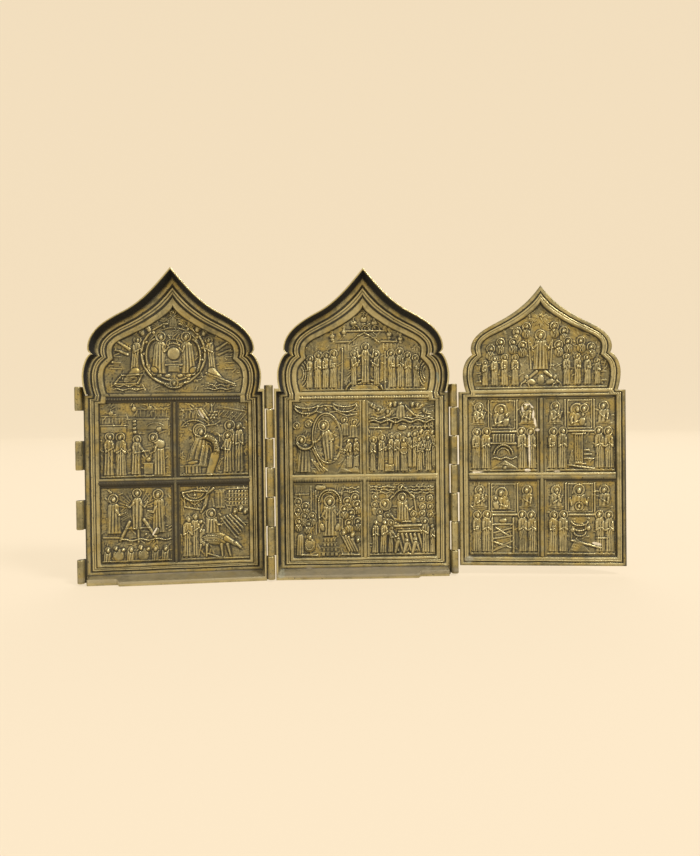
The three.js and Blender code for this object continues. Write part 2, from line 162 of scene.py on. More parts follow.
def leaf_ring(offset, left, right, base, left_shoulder, right_shoulder):
    """One closed line round a leaf, anticlockwise from its lower left corner."""
    right_half, left_half = (lifted(gable_half(offset), at) for at in (right_shoulder, left_shoulder))
    up_right = ((left, base), (right - CORNER, base), (right, base), (right, right_shoulder),
                (right_half[-1, 0], right_shoulder))
    down_left = ((-left_half[-1, 0], left_shoulder), (left, left_shoulder), (left, base))
    return np.vstack(straight_runs(up_right, (BASE_STEPS, CORNER_STEPS, SIDE_STEPS, SHOULDER_STEPS))
                     + [right_half[::-1], left_half[1:] * (-1, 1)]
                     + straight_runs(down_left, (SHOULDER_STEPS, SIDE_STEPS)))


FIELD_OUTER = 40.6                # half width of the four scenes' grounds
FIELD_INNER = 2.4
FIELD_ROWS = ((10.7, 52.6), (58.2, 100.0))

# Bands across a tray's face from its wall in to the ground: (outset from the gable's line above the
# cusp, outset below it, inset from the side, level, how sunk, how worn). A flat band, a groove, two
# nicked ridges, a groove, a smooth band, and a steep fall to the ground.
TRAY_BANDS = (
    (3.5, 2.9, 0.3, 4.0, 0.9, 0), (3.1, 2.5, 0.8, 4.04, 0.4, 0.2), (2.5, 2.1, 1.4, 4.06, 0.1, 0.4),
    (1.7, 1.7, 2.0, 4.03, 0.1, 0.5), (1.35, 1.4, 2.5, 3.9, 0.5, 0.2), (1.1, 1.15, 2.8, 3.5, 1, 0),
    (0.7, 0.85, 3.05, 3.42, 1, 0), (0.5, 0.6, 3.25, 3.6, 0.8, 0.1), (0.3, 0.4, 3.5, 3.95, 0.3, 0.6),
    (0, 0.1, 3.8, 4.1, 0, 1), (-0.35, -0.25, 4.1, 4.06, 0, 0.9), (-0.7, -0.6, 4.4, 3.8, 0.6, 0.3),
    (-0.95, -0.85, 4.6, 3.78, 0.6, 0.3), (-1.3, -1.2, 4.9, 4.02, 0.1, 0.8),
    (-1.7, -1.6, 5.2, 4.0, 0.1, 0.8), (-2.05, -1.95, 5.45, 3.7, 0.7, 0.1),
    (-2.35, -2.25, 5.65, 3.42, 1, 0), (-2.7, -2.6, 5.8, 3.5, 1, 0), (-3.0, -2.9, 5.95, 3.85, 0.4, 0.4),
    (-3.4, -3.3, 6.2, 3.95, 0, 0.7), (-4.4, -4.2, 6.7, 3.93, 0.05, 0.6),
    (-5.3, -5.0, 7.3, 3.9, 0.05, 0.7), (-5.75, -5.5, 7.8, 3.6, 0.4, 0.3),
    (-6.0, -5.8, 8.1, 3.0, 0.85, 0), (-6.2, -6.0, 8.2, 2.5, 1, 0), (-6.7, -6.5, 8.6, 2.3, 1, 0),
)
PLATE_BANDS = (
    (-0.35, -0.35, 0.35, 4.0, 0.35, 0.2), (-0.7, -0.7, 0.7, 4.06, 0.1, 0.5),
    (-1.2, -1.2, 1.2, 4.06, 0, 0.6), (-1.6, -1.6, 1.6, 4.0, 0.1, 0.5), (-1.85, -1.85, 1.85, 3.8, 0.6, 0.1),
    (-2.0, -2.0, 2.0, 3.4, 1, 0), (-2.25, -2.25, 2.25, 3.36, 1, 0), (-2.45, -2.45, 2.45, 3.6, 0.9, 0),
    (-2.6, -2.6, 2.6, 3.95, 0.3, 0.6), (-2.85, -2.85, 2.85, 4.1, 0, 1), (-3.15, -3.15, 3.15, 4.08, 0, 1),
    (-3.4, -3.4, 3.4, 3.85, 0.5, 0.3), (-3.6, -3.6, 3.55, 3.8, 0.6, 0.2), (-3.8, -3.8, 3.7, 3.98, 0.1, 0.7),
    (-4.3, -4.3, 4.0, 3.96, 0.05, 0.7), (-4.8, -4.8, 4.4, 3.9, 0.1, 0.6), (-5.15, -5.15, 4.8, 3.6, 0.4, 0.3),
    (-5.4, -5.4, 5.25, 3.0, 0.85, 0), (-5.6, -5.6, 5.4, 2.5, 1, 0), (-6.1, -6.1, 5.8, 2.3, 1, 0),
)


def moulding_ring(above, below, inset, edge, base):
    """A line round the face that follows the gable and lies an even way in from sides and base."""
    foot = inset * (FIELD_ROWS[0][0] - base) / (edge - FIELD_OUTER)
    return leaf_ring((above, below), inset - edge, edge - inset, base + foot,
                     SHOULDER - 0.6 * inset, SHOULDER - 0.6 * inset)


NICKED = (3.95, 4.15)             # bands between these levels are nicked along the gable
NICK_SPACING = 0.95
NICK_DEPTH = 0.26


def travelled(ring):
    """How far along the ring each of its points is."""
    steps = np.hypot(*np.diff(ring, axis=0, append=ring[:1]).T)
    return np.concatenate([[0], np.cumsum(steps)[:-1]])


def waves(u, v, seed, size, reaches=(4, 9, 19, 41)):
    """Slow unevenness over a surface, as a hand-worked model and its mould leave it."""
    draw = np.random.default_rng(seed)
    total = np.zeros(np.shape(u))
    for reach in reaches:
        turn, shift = draw.uniform(0, 2 * math.pi, 2)
        total += np.sin(2 * math.pi * (u * math.cos(turn) + v * math.sin(turn)) / reach + shift)
    return size * total / len(reaches)


class Skin:
    """Rings of points laid one inside the other over a casting, and how each of them has aged."""

    def __init__(self):
        self.places = []
        self.aged = []

    def add(self, ring, level, sunk=0.0, worn=0.0, black=0.0):
        level = np.broadcast_to(np.asarray(level, float), len(ring))
        self.places.append(np.column_stack([ring, level]))
        self.aged.append(np.tile(np.array((sunk, worn, black), float), (len(ring), 1)))


# Up the outside of a tray's wall, over its lip and down the inside: (share of the way from the
# outside to the inside, share of the wall's height, drop, how sunk, how worn, how dark with shade).
# The wall's inside is painted very dark and darker towards its foot: partly tarnish, partly painted
# shade.
WALL = (
    (0, 0.2, 0, 0.2, 0.1, 0), (0, 0.45, 0, 0.15, 0.15, 0), (0, 0.7, 0, 0.1, 0.2, 0),
    (0, 0.93, 0, 0, 0.5, 0), (0.04, 1, 0.22, 0, 1, 0), (0.22, 1, 0.03, 0, 1, 0),
    (0.5, 1, 0, 0, 1, 0), (0.78, 1, 0.03, 0, 1, 0), (0.96, 1, 0.22, 0, 0.8, 0.1),
    (1, 0.94, 0, 0.3, 0.1, 0.7), (1, 0.86, 0, 0.5, 0, 1), (1, 0.6, 0, 0.6, 0, 1),
    (1, 0.35, 0, 0.8, 0, 1), (1, 0.12, 0, 1, 0, 0.9),
)
# Over the back and up the plate's side: (share of the way in to the ground's edge, level, how sunk,
# how worn)
BACK_EDGE = ((1, 0, 0.1, 0.2), (0.16, 0, 0.1, 0.2), (0.06, 0, 0, 0.5), (0.016, 0.12, 0, 0.9),
             (0, 0.5, 0, 0.5), (0, 2.2, 0.2, 0.1), (0, 3.8, 0.1, 0.4))
BACK_MIDDLE = (0, 92, 0)          # the back's flat faces fan out from here
PLAIN_TOP = 3.8                   # where a side without a wall starts to round over


def wall_height(ring):
    """The wall is low beside the face hinge, where the folding leaf swings in past it."""
    low = np.interp(ring[:, 1], (118, 141), (9.0, WALL_TOP))
    return np.where(ring[:, 0] > 30, low, WALL_TOP)


def tray_skin():
    """A tray leaf with its wall hinge on the left, from the back edge to the edge of the ground."""
    outer_foot, outer_lip = (
        leaf_ring(FOOT["outer"] if low else LIP["outer"],
                  -HINGE_SIDE["outer_foot" if low else "outer_lip"], TRAY_EDGE, 0,
                  HINGE_SHOULDER["outer"], SHOULDER)
        for low in (True, False))
    inner_foot, inner_lip = (
        leaf_ring(FOOT["inner"] if low else LIP["inner"],
                  -HINGE_SIDE["inner_foot" if low else "inner_lip"], TRAY_EDGE,
                  BASE_WALL["foot" if low else "lip"], HINGE_SHOULDER["inner"], SHOULDER)
        for low in (True, False))
    face = [moulding_ring(*band[:3], TRAY_EDGE, BASE_WALL["foot"]) for band in TRAY_BANDS]
    # The plain side and the shoulder above it have no wall, which ends in an upright face: its last
    # points are doubled, once on the wall and once on the plate.
    plain = np.zeros(len(outer_foot), bool)
    plain[BASE_STEPS + 1 : BASE_STEPS + CORNER_STEPS + SIDE_STEPS + SHOULDER_STEPS + 1] = True
    order, on_plate = [], []
    for i, bare in enumerate(plain):
        following = (i + 1) % len(plain)
        order.append(i)
        on_plate.append(bare)
        if bare != plain[following]:
            order.append(i if plain[following] else following)
            on_plate.append(True)
    order, on_plate = np.array(order), np.array(on_plate)
    outer_foot, outer_lip, inner_foot, inner_lip = (
        ring[order] for ring in (outer_foot, outer_lip, inner_foot, inner_lip))
    face = [ring[order] for ring in face]
    top = np.where(on_plate, PLAIN_TOP, wall_height(outer_foot))
    walled = np.where(on_plate, 0.0, 1.0)
    # The base wall's inside faces up: it gets no painted shade, and is painted lighter instead, a painted
    # highlight of the light from above.
    shaded = np.clip((inner_foot[:, 1] - 5) / 4, 0, 1)    # 0 on the base wall, which gets no painted shade

    skin = Skin()
    for inwards, level, sunk, worn in BACK_EDGE:
        ring = mix(outer_foot, outer_lip, level / WALL_TOP)
        skin.add(mix(ring, face[-1], inwards), level, sunk, worn)
    for inwards, height, drop, sunk, worn, black in WALL:
        level = mix(PLAIN_TOP, top, height) - drop * walled
        outside = mix(outer_foot, outer_lip, (level / WALL_TOP)[:, None])
        lean = np.clip((level - FACE) / (WALL_TOP - FACE), 0, 1)
        inside = mix(inner_foot, inner_lip, lean[:, None])
        skin.add(mix(outside, inside, inwards), level, sunk, worn, black)
        # The wall's inside gets painted shade with some tarnish, except on the base wall.
        skin.aged[-1] *= walled[:, None]
        skin.aged[-1][:, 2] *= shaded
        skin.aged[-1][:, 0] *= 0.1 + 0.9 * shaded
        # painted highlight on the inside of the base wall
        skin.aged[-1][:, 1] += 0.55 * (1 - shaded) * walled * (inwards == 1)
    # A band of painted shade, very dark, where the wall's inside meets the face.
    skin.add(mix(inner_foot, face[0], 0.12), FACE + 0.1 * walled, 1, 0, 0.8)
    skin.aged[-1] *= walled[:, None]
    skin.aged[-1][:, 2] *= shaded
    add_mouldings(skin, face, TRAY_BANDS)
    return skin


def plate_skin():
    """The plate leaf, from its back edge to the edge of the ground."""
    edge = moulding_ring(0, 0, 0, PLATE_EDGE, PLATE_BASE)
    face = [moulding_ring(*band[:3], PLATE_EDGE, PLATE_BASE) for band in PLATE_BANDS]
    skin = Skin()
    for inwards, level, sunk, worn in BACK_EDGE:
        skin.add(mix(edge, face[-1], inwards), level, sunk, worn)
    add_mouldings(skin, face, PLATE_BANDS)
    return skin


def add_mouldings(skin, face, bands):
    for ring, (above, _, inset, level, sunk, worn) in zip(face, bands):
        height = level + waves(ring[:, 0], ring[:, 1], 5, 0.05)
        if 0 > above > -2.2 and NICKED[0] < level < NICKED[1] or above == 0:
            turns = travelled(ring) / NICK_SPACING + 0.9 * above
            nick = 0.5 + 0.5 * np.cos(2 * math.pi * turns)
            height = height - NICK_DEPTH * nick * (ring[:, 1] > SHOULDER)
        shift = waves(ring[:, 0], ring[:, 1], 8, 0.1, (6, 13, 27))[:, None]
        skin.add(mix(ring, (0, 75), shift / 60), height, sunk, worn)


def skin_mesh(skin):
    """Points, faces and ageing of a skin, closed by a fan at its back and one flat face at its ground."""
    count = len(skin.places[0])
    first = np.arange(count)
    after = np.roll(first, -1)
    strips = [np.column_stack([first, after, after + count, first + count]) + count * k
              for k in range(len(skin.places) - 1)]
    last = count * (len(skin.places) - 1)
    middle = last + count
    fan = np.column_stack([after, first, np.full(count, middle)])
    faces = np.vstack(strips).tolist() + fan.tolist() + [(first + last).tolist()]
    places = np.vstack(skin.places + [BACK_MIDDLE])
    return places, faces, np.vstack(skin.aged + [(0.1, 0.2, 0)])


# Where the surface has aged most: pale or green crusts and dust; and darker strips along the bases and
# down the right leaf's right edge, that last one painted shade of its bevel. (leaf, kind, u, v, reach
# across, reach up, turn)
MARKS = (
    ("right", "pale", -36.1, 58.6, 3.3, 0.6, 0), ("right", "pale", 8.5, 58.7, 1.8, 0.55, 0),
    ("right", "pale", 30.2, 17.5, 2.6, 0.7, -12), ("right", "pale", -10.4, 94.2, 0.5, 1.5, 10),
    ("right", "pale", -7.6, 96.8, 1.8, 0.5, 0), ("right", "pale", -5.0, 95.4, 0.5, 1.3, 42),
    ("right", "pale", -4.3, 91.4, 0.6, 2.4, -4), ("right", "pale", -3.2, 86.2, 0.62, 2.8, 10),
    ("right", "pale", -2.0, 82.3, 1.1, 0.7, 0), ("right", "pale", -6.8, 70.8, 0.5, 9.4, 0.6),
    # The darker strip down the right leaf's right edge is painted shade on its bevel; those along the bases
    # are only darker.
    ("right", "pale", -7.8, 59.3, 1.6, 0.8, 0), ("right", "dark_strip", 48.0, 40, 3.2, 70, 0),
    ("right", "dark_strip", 0, 2.4, 60, 1.8, 0), ("middle", "dark_strip", 0, 2.6, 60, 1.8, 0),
    ("right", "green", -41.5, 8.5, 2.4, 1.7, 0), ("right", "dust", -41.5, 8.5, 2.6, 1.5, 0),
    ("middle", "green", 42.6, 113.0, 0.7, 3.4, 8), ("middle", "green", -47.4, 3.0, 1.8, 1.6, 0),
    ("middle", "pale", 38.9, 126.4, 0.9, 0.7, 0), ("middle", "pale", 47.2, 55.4, 0.6, 0.5, 0),
    ("middle", "dust", -32.4, 5.2, 1.3, 1.0, 0), ("middle", "dust", 0, 2.9, 60, 1.5, 0),
    ("left", "dust", 0, 2.9, 60, 1.5, 0), ("left", "pale", -11.6, 28.1, 0.5, 2.6, -30),
    ("left", "pale", 14.6, 93.8, 0.5, 2.6, 32),
)


DARK_STRIP_STRENGTH = 0.6
FRONT_LEVEL = 2.0                 # marks lie only on what stands above this level


def mark_strength(leaf, kind, places):
    """How strongly the leaf's marks of one kind show at each point, from 0 to 1."""
    strength = np.zeros(len(places))
    for name, made_of, u, v, across, up, turn in MARKS:
        if name == leaf.name and made_of == kind:
            c, s = math.cos(math.radians(turn)), math.sin(math.radians(turn))
            a = ((places[:, 0] - u) * c + (places[:, 1] - v) * s) / across
            b = ((places[:, 1] - v) * c - (places[:, 0] - u) * s) / up
            mark = np.clip(1.6 - np.hypot(a, b), 0, 1) * (places[:, 2] > FRONT_LEVEL)
            strength = np.maximum(strength, mark)
    return strength


def made_piece(name, leaf, places, faces, ageing, finish, node):
    """A mesh of points that lie flat on the leaf, in millimetres, with its named ageing and finish."""
    mesh = bpy.data.meshes.new(name)
    mesh.from_pydata(leaf.stand(*places.T), [], faces)
    for label, values in ageing.items():
        layer = mesh.attributes.new(label, "FLOAT", "POINT")
        layer.data.foreach_set("value", np.ascontiguousarray(values, np.float32))
    mesh.polygons.foreach_set("use_smooth", [len(face) < 5 for face in faces])
    mesh.materials.append(finish)
    piece = bpy.data.objects.new(name, mesh)
    bpy.context.scene.collection.objects.link(piece)
    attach(piece, leaf.body)
    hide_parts(node)


def cast_piece(name, leaf, places, faces, aged, finish):
    """A piece of a leaf's casting, aged as given, by the leaf's even darkening and by its marks, one of them
    painted shade.
    """
    # Leaves painted evenly darker, and darker strips, one of them painted shade.
    darkening = leaf.darkening + DARK_STRIP_STRENGTH * mark_strength(leaf, "dark_strip", places)
    ageing = {"sunk": aged[:, 0] + darkening, "worn": aged[:, 1] - darkening, "black": aged[:, 2]}
    ageing.update({kind: mark_strength(leaf, kind, places) for kind in ("pale", "green", "dust")})
    made_piece(name, leaf, places, faces, ageing, finish, leaf.node)


def mirrored(places, faces):
    return places * (-1, 1, 1), [face[::-1] for face in faces]


class Shade:
    """One socket of a material's node tree, which can be used in sums."""

    def __init__(self, tree, socket):
        self.tree = tree
        self.socket = socket

    def node(self, kind, settings=None, out=0, **inputs):
        node = self.tree.nodes.new(kind)
        for name, value in (settings or {}).items():
            setattr(node, name, value)
        for name, value in inputs.items():
            at = node.inputs[int(name[1:])] if name[1:].isdigit() else node.inputs[name.replace("_", " ")]
            if isinstance(value, Shade):
                self.tree.links.new(value.socket, at)
            else:
                at.default_value = value
        return Shade(self.tree, node.outputs[out])

    def math(self, operation, a, b=0.0, clamp=False):
        return self.node("ShaderNodeMath", {"operation": operation, "use_clamp": clamp}, i0=a, i1=b)

    def __add__(self, other):
        return self.math("ADD", self, other)

    def __radd__(self, other):
        return self.math("ADD", other, self)

    def __sub__(self, other):
        return self.math("SUBTRACT", self, other)

    def __rsub__(self, other):
        return self.math("SUBTRACT", other, self)

    def __mul__(self, other):
        return self.math("MULTIPLY", self, other)

    def __rmul__(self, other):
        return self.math("MULTIPLY", other, self)

    def clamp(self):
        return self.math("ADD", self, 0.0, clamp=True)

    def between(self, low, high):
        """0 below low, 1 above high and smooth between them."""
        return self.node("ShaderNodeMapRange", {"interpolation_type": "SMOOTHSTEP"},
                         i0=self, i1=low, i2=high)

    def noise(self, place, scale, detail=3.0, rough=0.55):
        return self.node("ShaderNodeTexNoise", Vector=place, Scale=scale, Detail=detail, Roughness=rough)

    def paint(self, under, over):
        """The colour over laid on under where this mask is 1."""
        return self.node("ShaderNodeMix", {"data_type": "RGBA"}, out=2, i0=self, i6=under, i7=over)


def aged_brass(name, gold=(0.51, 0.445, 0.235), olive=(0.165, 0.148, 0.082)):
    """Old cast brass: rubbed gold on what stands proud, olive between, brown to very dark in the hollows,
    and very dark painted shade on the trays' inner walls and down the right leaf's right edge.
    """
    material = bpy.data.materials.new(name)
    material.use_nodes = True
    tree = material.node_tree
    surface = tree.nodes["Principled BSDF"]
    start = Shade(tree, None)
    place = start.node("ShaderNodeTexCoord", out=3)
    sunk, worn, black, pale, green, dust = (
        start.node("ShaderNodeAttribute", {"attribute_name": label}, out=2)
        for label in ("sunk", "worn", "black", "pale", "green", "dust"))

    clouds = start.noise(place, 60.0, 4.0)
    patches = start.noise(place, 280.0, 4.0, 0.65)
    grain = start.noise(place, 1900.0, 3.0, 0.6)
    pits = start.noise(place, 900.0, 2.0, 0.5).between(0.30, 0.38)

    # Rubbed gold on worn places, and painted highlight on the base wall's inside and the middle leaf's bars.
    rub_and_sheen = (worn + (patches - 0.5) * 1.0 + (clouds - 0.5) * 0.9).between(0.15, 1.15)
    dirt_and_shade = (sunk + (patches - 0.5) * 0.55 + (1 - pits) * 0.4).between(0.22, 0.85)
    tone = (clouds * 0.6 + patches * 0.4).between(0.38, 0.62)

    warm = tone.paint((*olive, 1), tuple(0.5 * a + 0.5 * b for a, b in zip(gold, olive)) + (1,))
    bright = (start.noise(place, 130.0, 3.0) + 0.22 * (patches - 0.5)).between(0.42, 0.66)
    ground = (bright * (1 - rub_and_sheen)).paint(warm, (0.37, 0.286, 0.096, 1))
    metal = rub_and_sheen.paint(ground, (*gold, 1))
    # Deposits darken the hollows; the right leaf's marked edge and the trays' inner walls get painted shade,
    # the walls very dark.
    darker_tone = (dirt_and_shade * 0.94).paint(metal, (0.020, 0.0175, 0.011, 1))
    shadowed = (black * 0.97).paint(darker_tone, (0.0042, 0.0040, 0.0034, 1))
    crust = (pale * 1.3 + (patches - 0.5) * 1.6 + (grain - 0.5) * 0.8).between(0.55, 0.95)
    crust = crust * pale.between(0, 0.3)
    bloom = (green + (patches - 0.5) * 1.2).between(0.35, 0.95) * green.between(0, 0.3)
    greened = (bloom * 0.75).paint(shadowed, (0.24, 0.30, 0.245, 1))
    film = dust.between(0.1, 0.7) * (0.55 + 0.6 * (patches - 0.35))
    dusty = film.paint(greened, (0.25, 0.215, 0.142, 1))
    final = (crust * 0.9).paint(dusty, (0.72, 0.66, 0.52, 1))
    tree.links.new(final.socket, surface.inputs["Base Color"])

    shine = 0.90 - 0.70 * dirt_and_shade - 0.8 * black - 0.9 * crust - 0.8 * bloom - 0.7 * film
    tree.links.new(shine.clamp().socket, surface.inputs["Metallic"])
    dull = 0.47 + 0.22 * dirt_and_shade + 0.3 * black - 0.10 * rub_and_sheen + (grain - 0.5) * 0.12
    tree.links.new(dull.clamp().socket, surface.inputs["Roughness"])
    bump = start.node("ShaderNodeBump", Strength=0.35, Distance=0.00012,
                      Height=grain * 0.6 + patches * 0.8 + pits * 0.6)
    tree.links.new(bump.socket, surface.inputs["Normal"])
    return material


leaf_finish = aged_brass("leaf_brass")

for leaf, skin in ((left_leaf, tray_skin()), (middle_leaf, tray_skin()), (right_leaf, plate_skin())):
    places, faces, aged = skin_mesh(skin)
    if leaf is left_leaf:
        places, faces = mirrored(places, faces)
    cast_piece(leaf.name + "_casting", leaf, places, faces, aged, leaf_finish)

# --- The relief of the scenes -------------------------------------------------------------------
# The scenes are cast in one with their leaves, about a millimetre and a half proud of a sunk
# ground. Every form was cut in the model with a thin moat round it, which is what makes the
# figures read once the metal has darkened. All sizes here are in millimetres.
FIELD_STEP = 0.3                 # spacing of the relief mesh


class Ground:
    """A sheet of ground seen from the front, and how high the forms on it stand."""

    def __init__(self, across, up):
        self.x = across
        self.y = up
        self.high = np.zeros_like(across)

    def near(self, low, high):
        first = np.searchsorted(self.y[:, 0], low)
        last = np.searchsorted(self.y[:, 0], high)
        return slice(first, max(first + 1, last))

    def press(self, rows, outside, form, on_top, moat=0.5):
        high = self.high[rows]
        ditch = np.clip(1 - outside / moat, 0, 1) * (outside > 0)
        if on_top:
            high = high * (1 - 0.35 * ditch) + np.where(outside < 0, form, 0)
        else:
            high = np.where(outside < 0, np.maximum(form, 0.35 * high), high * (1 - 0.85 * ditch))
        self.high[rows] = high

    def oval(self, x, y, rx, ry=None, high=0.6, turn=0, on_top=False, flat=2):
        """A rounded boss; a larger flat makes its top flatter and its sides steeper."""
        ry = ry or rx
        reach = max(rx, ry) + 1
        rows = self.near(y - reach, y + reach)
        c, s = math.cos(math.radians(turn)), math.sin(math.radians(turn))
        a = ((self.x[rows] - x) * c + (self.y[rows] - y) * s) / rx
        b = ((self.y[rows] - y) * c - (self.x[rows] - x) * s) / ry
        t = np.hypot(a, b)
        form = high * np.sqrt(np.clip(1 - t ** flat, 0, 1))
        self.press(rows, (t - 1) * min(rx, ry), form, on_top)

    def bar(self, x0, y0, x1, y1, r0, r1=None, high=0.5, on_top=True, moat=0.4):
        """A rounded limb, beam or stroke that tapers from half width r0 to r1."""
        r1 = r0 if r1 is None else r1
        reach = max(r0, r1) + 1
        rows = self.near(min(y0, y1) - reach, max(y0, y1) + reach)
        dx, dy = x1 - x0, y1 - y0
        along = ((self.x[rows] - x0) * dx + (self.y[rows] - y0) * dy) / (dx * dx + dy * dy + 1e-9)
        along = np.clip(along, 0, 1)
        away = np.hypot(self.x[rows] - x0 - along * dx, self.y[rows] - y0 - along * dy)
        radius = r0 + (r1 - r0) * along
        form = high * np.sqrt(np.clip(1 - (away / radius) ** 2, 0, 1))
        self.press(rows, away - radius, form, on_top, moat)

    def line(self, points, r=0.3, high=0.35, on_top=True):
        for (x0, y0), (x1, y1) in zip(points[:-1], points[1:]):
            self.bar(x0, y0, x1, y1, r, high=high, on_top=on_top)

    def arc(self, x, y, rx, ry, start, end, r=0.3, high=0.35, turn=0):
        c, s = math.cos(math.radians(turn)), math.sin(math.radians(turn))
        count = max(3, int(abs(end - start) * max(rx, ry) / 60))
        points = []
        for angle in np.radians(np.linspace(start, end, count)):
            a, b = rx * math.cos(angle), ry * math.sin(angle)
            points.append((x + a * c - b * s, y + a * s + b * c))
        self.line(points, r, high)

    def ring(self, x, y, rx, ry=None, width=0.7, high=0.5, turn=0, on_top=False):
        ry = ry or rx
        reach = max(rx, ry) + width + 1
        rows = self.near(y - reach, y + reach)
        c, s = math.cos(math.radians(turn)), math.sin(math.radians(turn))
        a = ((self.x[rows] - x) * c + (self.y[rows] - y) * s) / rx
        b = ((self.y[rows] - y) * c - (self.x[rows] - x) * s) / ry
        t = np.hypot(a, b)
        away = np.abs(t - 1) * np.hypot(a * rx, b * ry) / np.maximum(t, 1e-6)
        form = high * np.sqrt(np.clip(1 - (away / (width / 2)) ** 2, 0, 1))
        self.press(rows, away - width / 2, form, on_top)

    def block(self, x0, y0, x1, y1, high=0.5, edge=0.35, on_top=False):
        rows = self.near(min(y0, y1) - 1, max(y0, y1) + 1)
        outside = np.maximum(
            np.abs(self.x[rows] - (x0 + x1) / 2) - abs(x1 - x0) / 2,
            np.abs(self.y[rows] - (y0 + y1) / 2) - abs(y1 - y0) / 2,
        )
        self.press(rows, outside, high * np.clip(-outside / edge, 0, 1) ** 0.5, on_top)

    def robe(self, x, y, tall, hem, waist, shoulder, lean=0, folds=3, high=1.0, twist=0):
        """A draped body from hem to shoulders, with folds that run down it."""
        rows = self.near(y - 1, y + tall + 1)
        t = np.clip((self.y[rows] - y) / tall, 0, 1)
        half = np.interp(t, [0, 0.12, 0.5, 0.72, 0.9, 1], [
            hem, hem * 0.93, waist, (waist + 2 * shoulder) / 3, shoulder, shoulder * 0.55])
        axis = x + lean * t ** 1.3
        across = (self.x[rows] - axis) / half
        outside = np.maximum((np.abs(across) - 1) * half, np.abs(self.y[rows] - y - tall / 2) - tall / 2)
        body = np.sqrt(np.clip(1 - np.abs(across) ** 2.4, 0, 1))
        fall = np.cos(math.pi * (folds * across + twist * (1 - t)))
        form = high * body * (0.74 + 0.26 * fall * np.clip(1.5 - t, 0, 1))
        self.press(rows, outside, form, False)

    def head(self, x, y, r, facing=0, halo=0.0, beard=False, high=1.15):
        """A plain head: brow, nose and hair hinted at, the same for every figure."""
        if halo:
            self.oval(x, y, halo, high=0.42, flat=14)
            self.ring(x, y, halo - 0.32, width=0.55, high=0.3, on_top=True)
        self.oval(x, y + 0.25 * r, r * 1.12, r * 1.15, high=high * 0.86)
        self.oval(x + 0.18 * facing * r, y - 0.12 * r, r * 0.8, r * 1.05, high=high)
        self.bar(x + 0.3 * facing * r, y + 0.25 * r, x + 0.34 * facing * r, y - 0.3 * r,
                 0.16 * r, high=0.16, moat=0.3)
        if beard:
            self.oval(x + 0.2 * facing * r, y - 0.95 * r, 0.5 * r, 0.6 * r, high=0.8 * high)

    def arm(self, x, y, elbow, hand, r=0.75, high=0.42):
        self.bar(x, y, x + elbow[0], y + elbow[1], r, r * 0.85, high)
        self.bar(x + elbow[0], y + elbow[1], x + hand[0], y + hand[1], r * 0.85, r * 0.5, high)
        self.oval(x + hand[0], y + hand[1], r * 0.6, high=high * 0.8, on_top=True)

    def person(self, x, y, tall, facing=0, lean=0.0, halo=True, arms='fold', folds=3, high=1.0,
               wide=1.0, beard=False, feet=True, twist=0.3):
        """A robed figure that stands on y. Arms: fold, pray, reach, raise, book, down or none."""
        k = tall / 24
        side = facing or 1
        top_x, top_y = x + lean, y + 0.79 * tall
        head_x, head_y = x + lean * 1.15 + 0.25 * facing * k, y + 0.885 * tall
        if halo:
            self.oval(head_x, head_y, 2.55 * k, high=0.4, flat=14)
            self.ring(head_x, head_y, 2.2 * k, width=0.6, high=0.32, on_top=True)
        if feet:
            for step in (-1, 1):
                self.oval(x + step * 1.2 * k + 0.5 * side * k, y + 0.2, 0.95 * k, 0.55 * k, high=0.55)
        self.robe(x, y + 0.6 * k, 0.8 * tall, 2.9 * k * wide, 2.35 * k * wide, 2.75 * k * wide,
                  lean, folds, high, twist)
        # the cloak's edge falls across the body from one shoulder
        self.bar(top_x - side * 1.6 * k, top_y - 1.2 * k, x + side * 1.9 * k * wide, y + 0.3 * tall,
                 0.32, high=0.2)
        left, right = (top_x - 2.1 * k * wide, top_y - 1.9 * k), (top_x + 2.1 * k * wide, top_y - 1.9 * k)
        near, far = (right, left) if side > 0 else (left, right)
        if arms == 'fold':
            self.arm(*left, (-0.2 * k, -4.2 * k), (2.0 * k, -3.0 * k))
            self.arm(*right, (0.2 * k, -4.2 * k), (-1.9 * k, -2.2 * k))
        elif arms == 'pray':
            self.arm(*far, (side * 0.6 * k, -3.8 * k), (side * 4.3 * k, -1.6 * k))
            self.arm(*near, (side * 0.8 * k, -3.6 * k), (side * 2.2 * k, -0.2 * k))
        elif arms == 'reach':
            self.arm(*far, (side * 1.2 * k, -3.8 * k), (side * 5.6 * k, -3.2 * k))
            self.arm(*near, (side * 1.6 * k, -2.8 * k), (side * 4.4 * k, -2.6 * k))
        elif arms == 'raise':
            self.arm(*left, (-2.1 * k, -1.6 * k), (-2.6 * k, 2.6 * k))
            self.arm(*right, (2.1 * k, -1.6 * k), (2.6 * k, 2.6 * k))
        elif arms == 'book':
            self.arm(*far, (0, -4.0 * k), (side * 2.6 * k, -3.4 * k))
            cover = x + lean * 0.7
            self.block(cover - 0.9 * k, top_y - 6.6 * k, cover + 1.1 * k, top_y - 3.6 * k,
                       0.35, 0.2, on_top=True)
        elif arms == 'down':
            self.arm(*left, (-0.5 * k, -4.6 * k), (0.2 * k, -7.6 * k))
            self.arm(*right, (0.5 * k, -4.6 * k), (-0.2 * k, -7.6 * k))
        self.head(head_x, head_y, 1.32 * k, facing, 0, beard, high * 1.12)

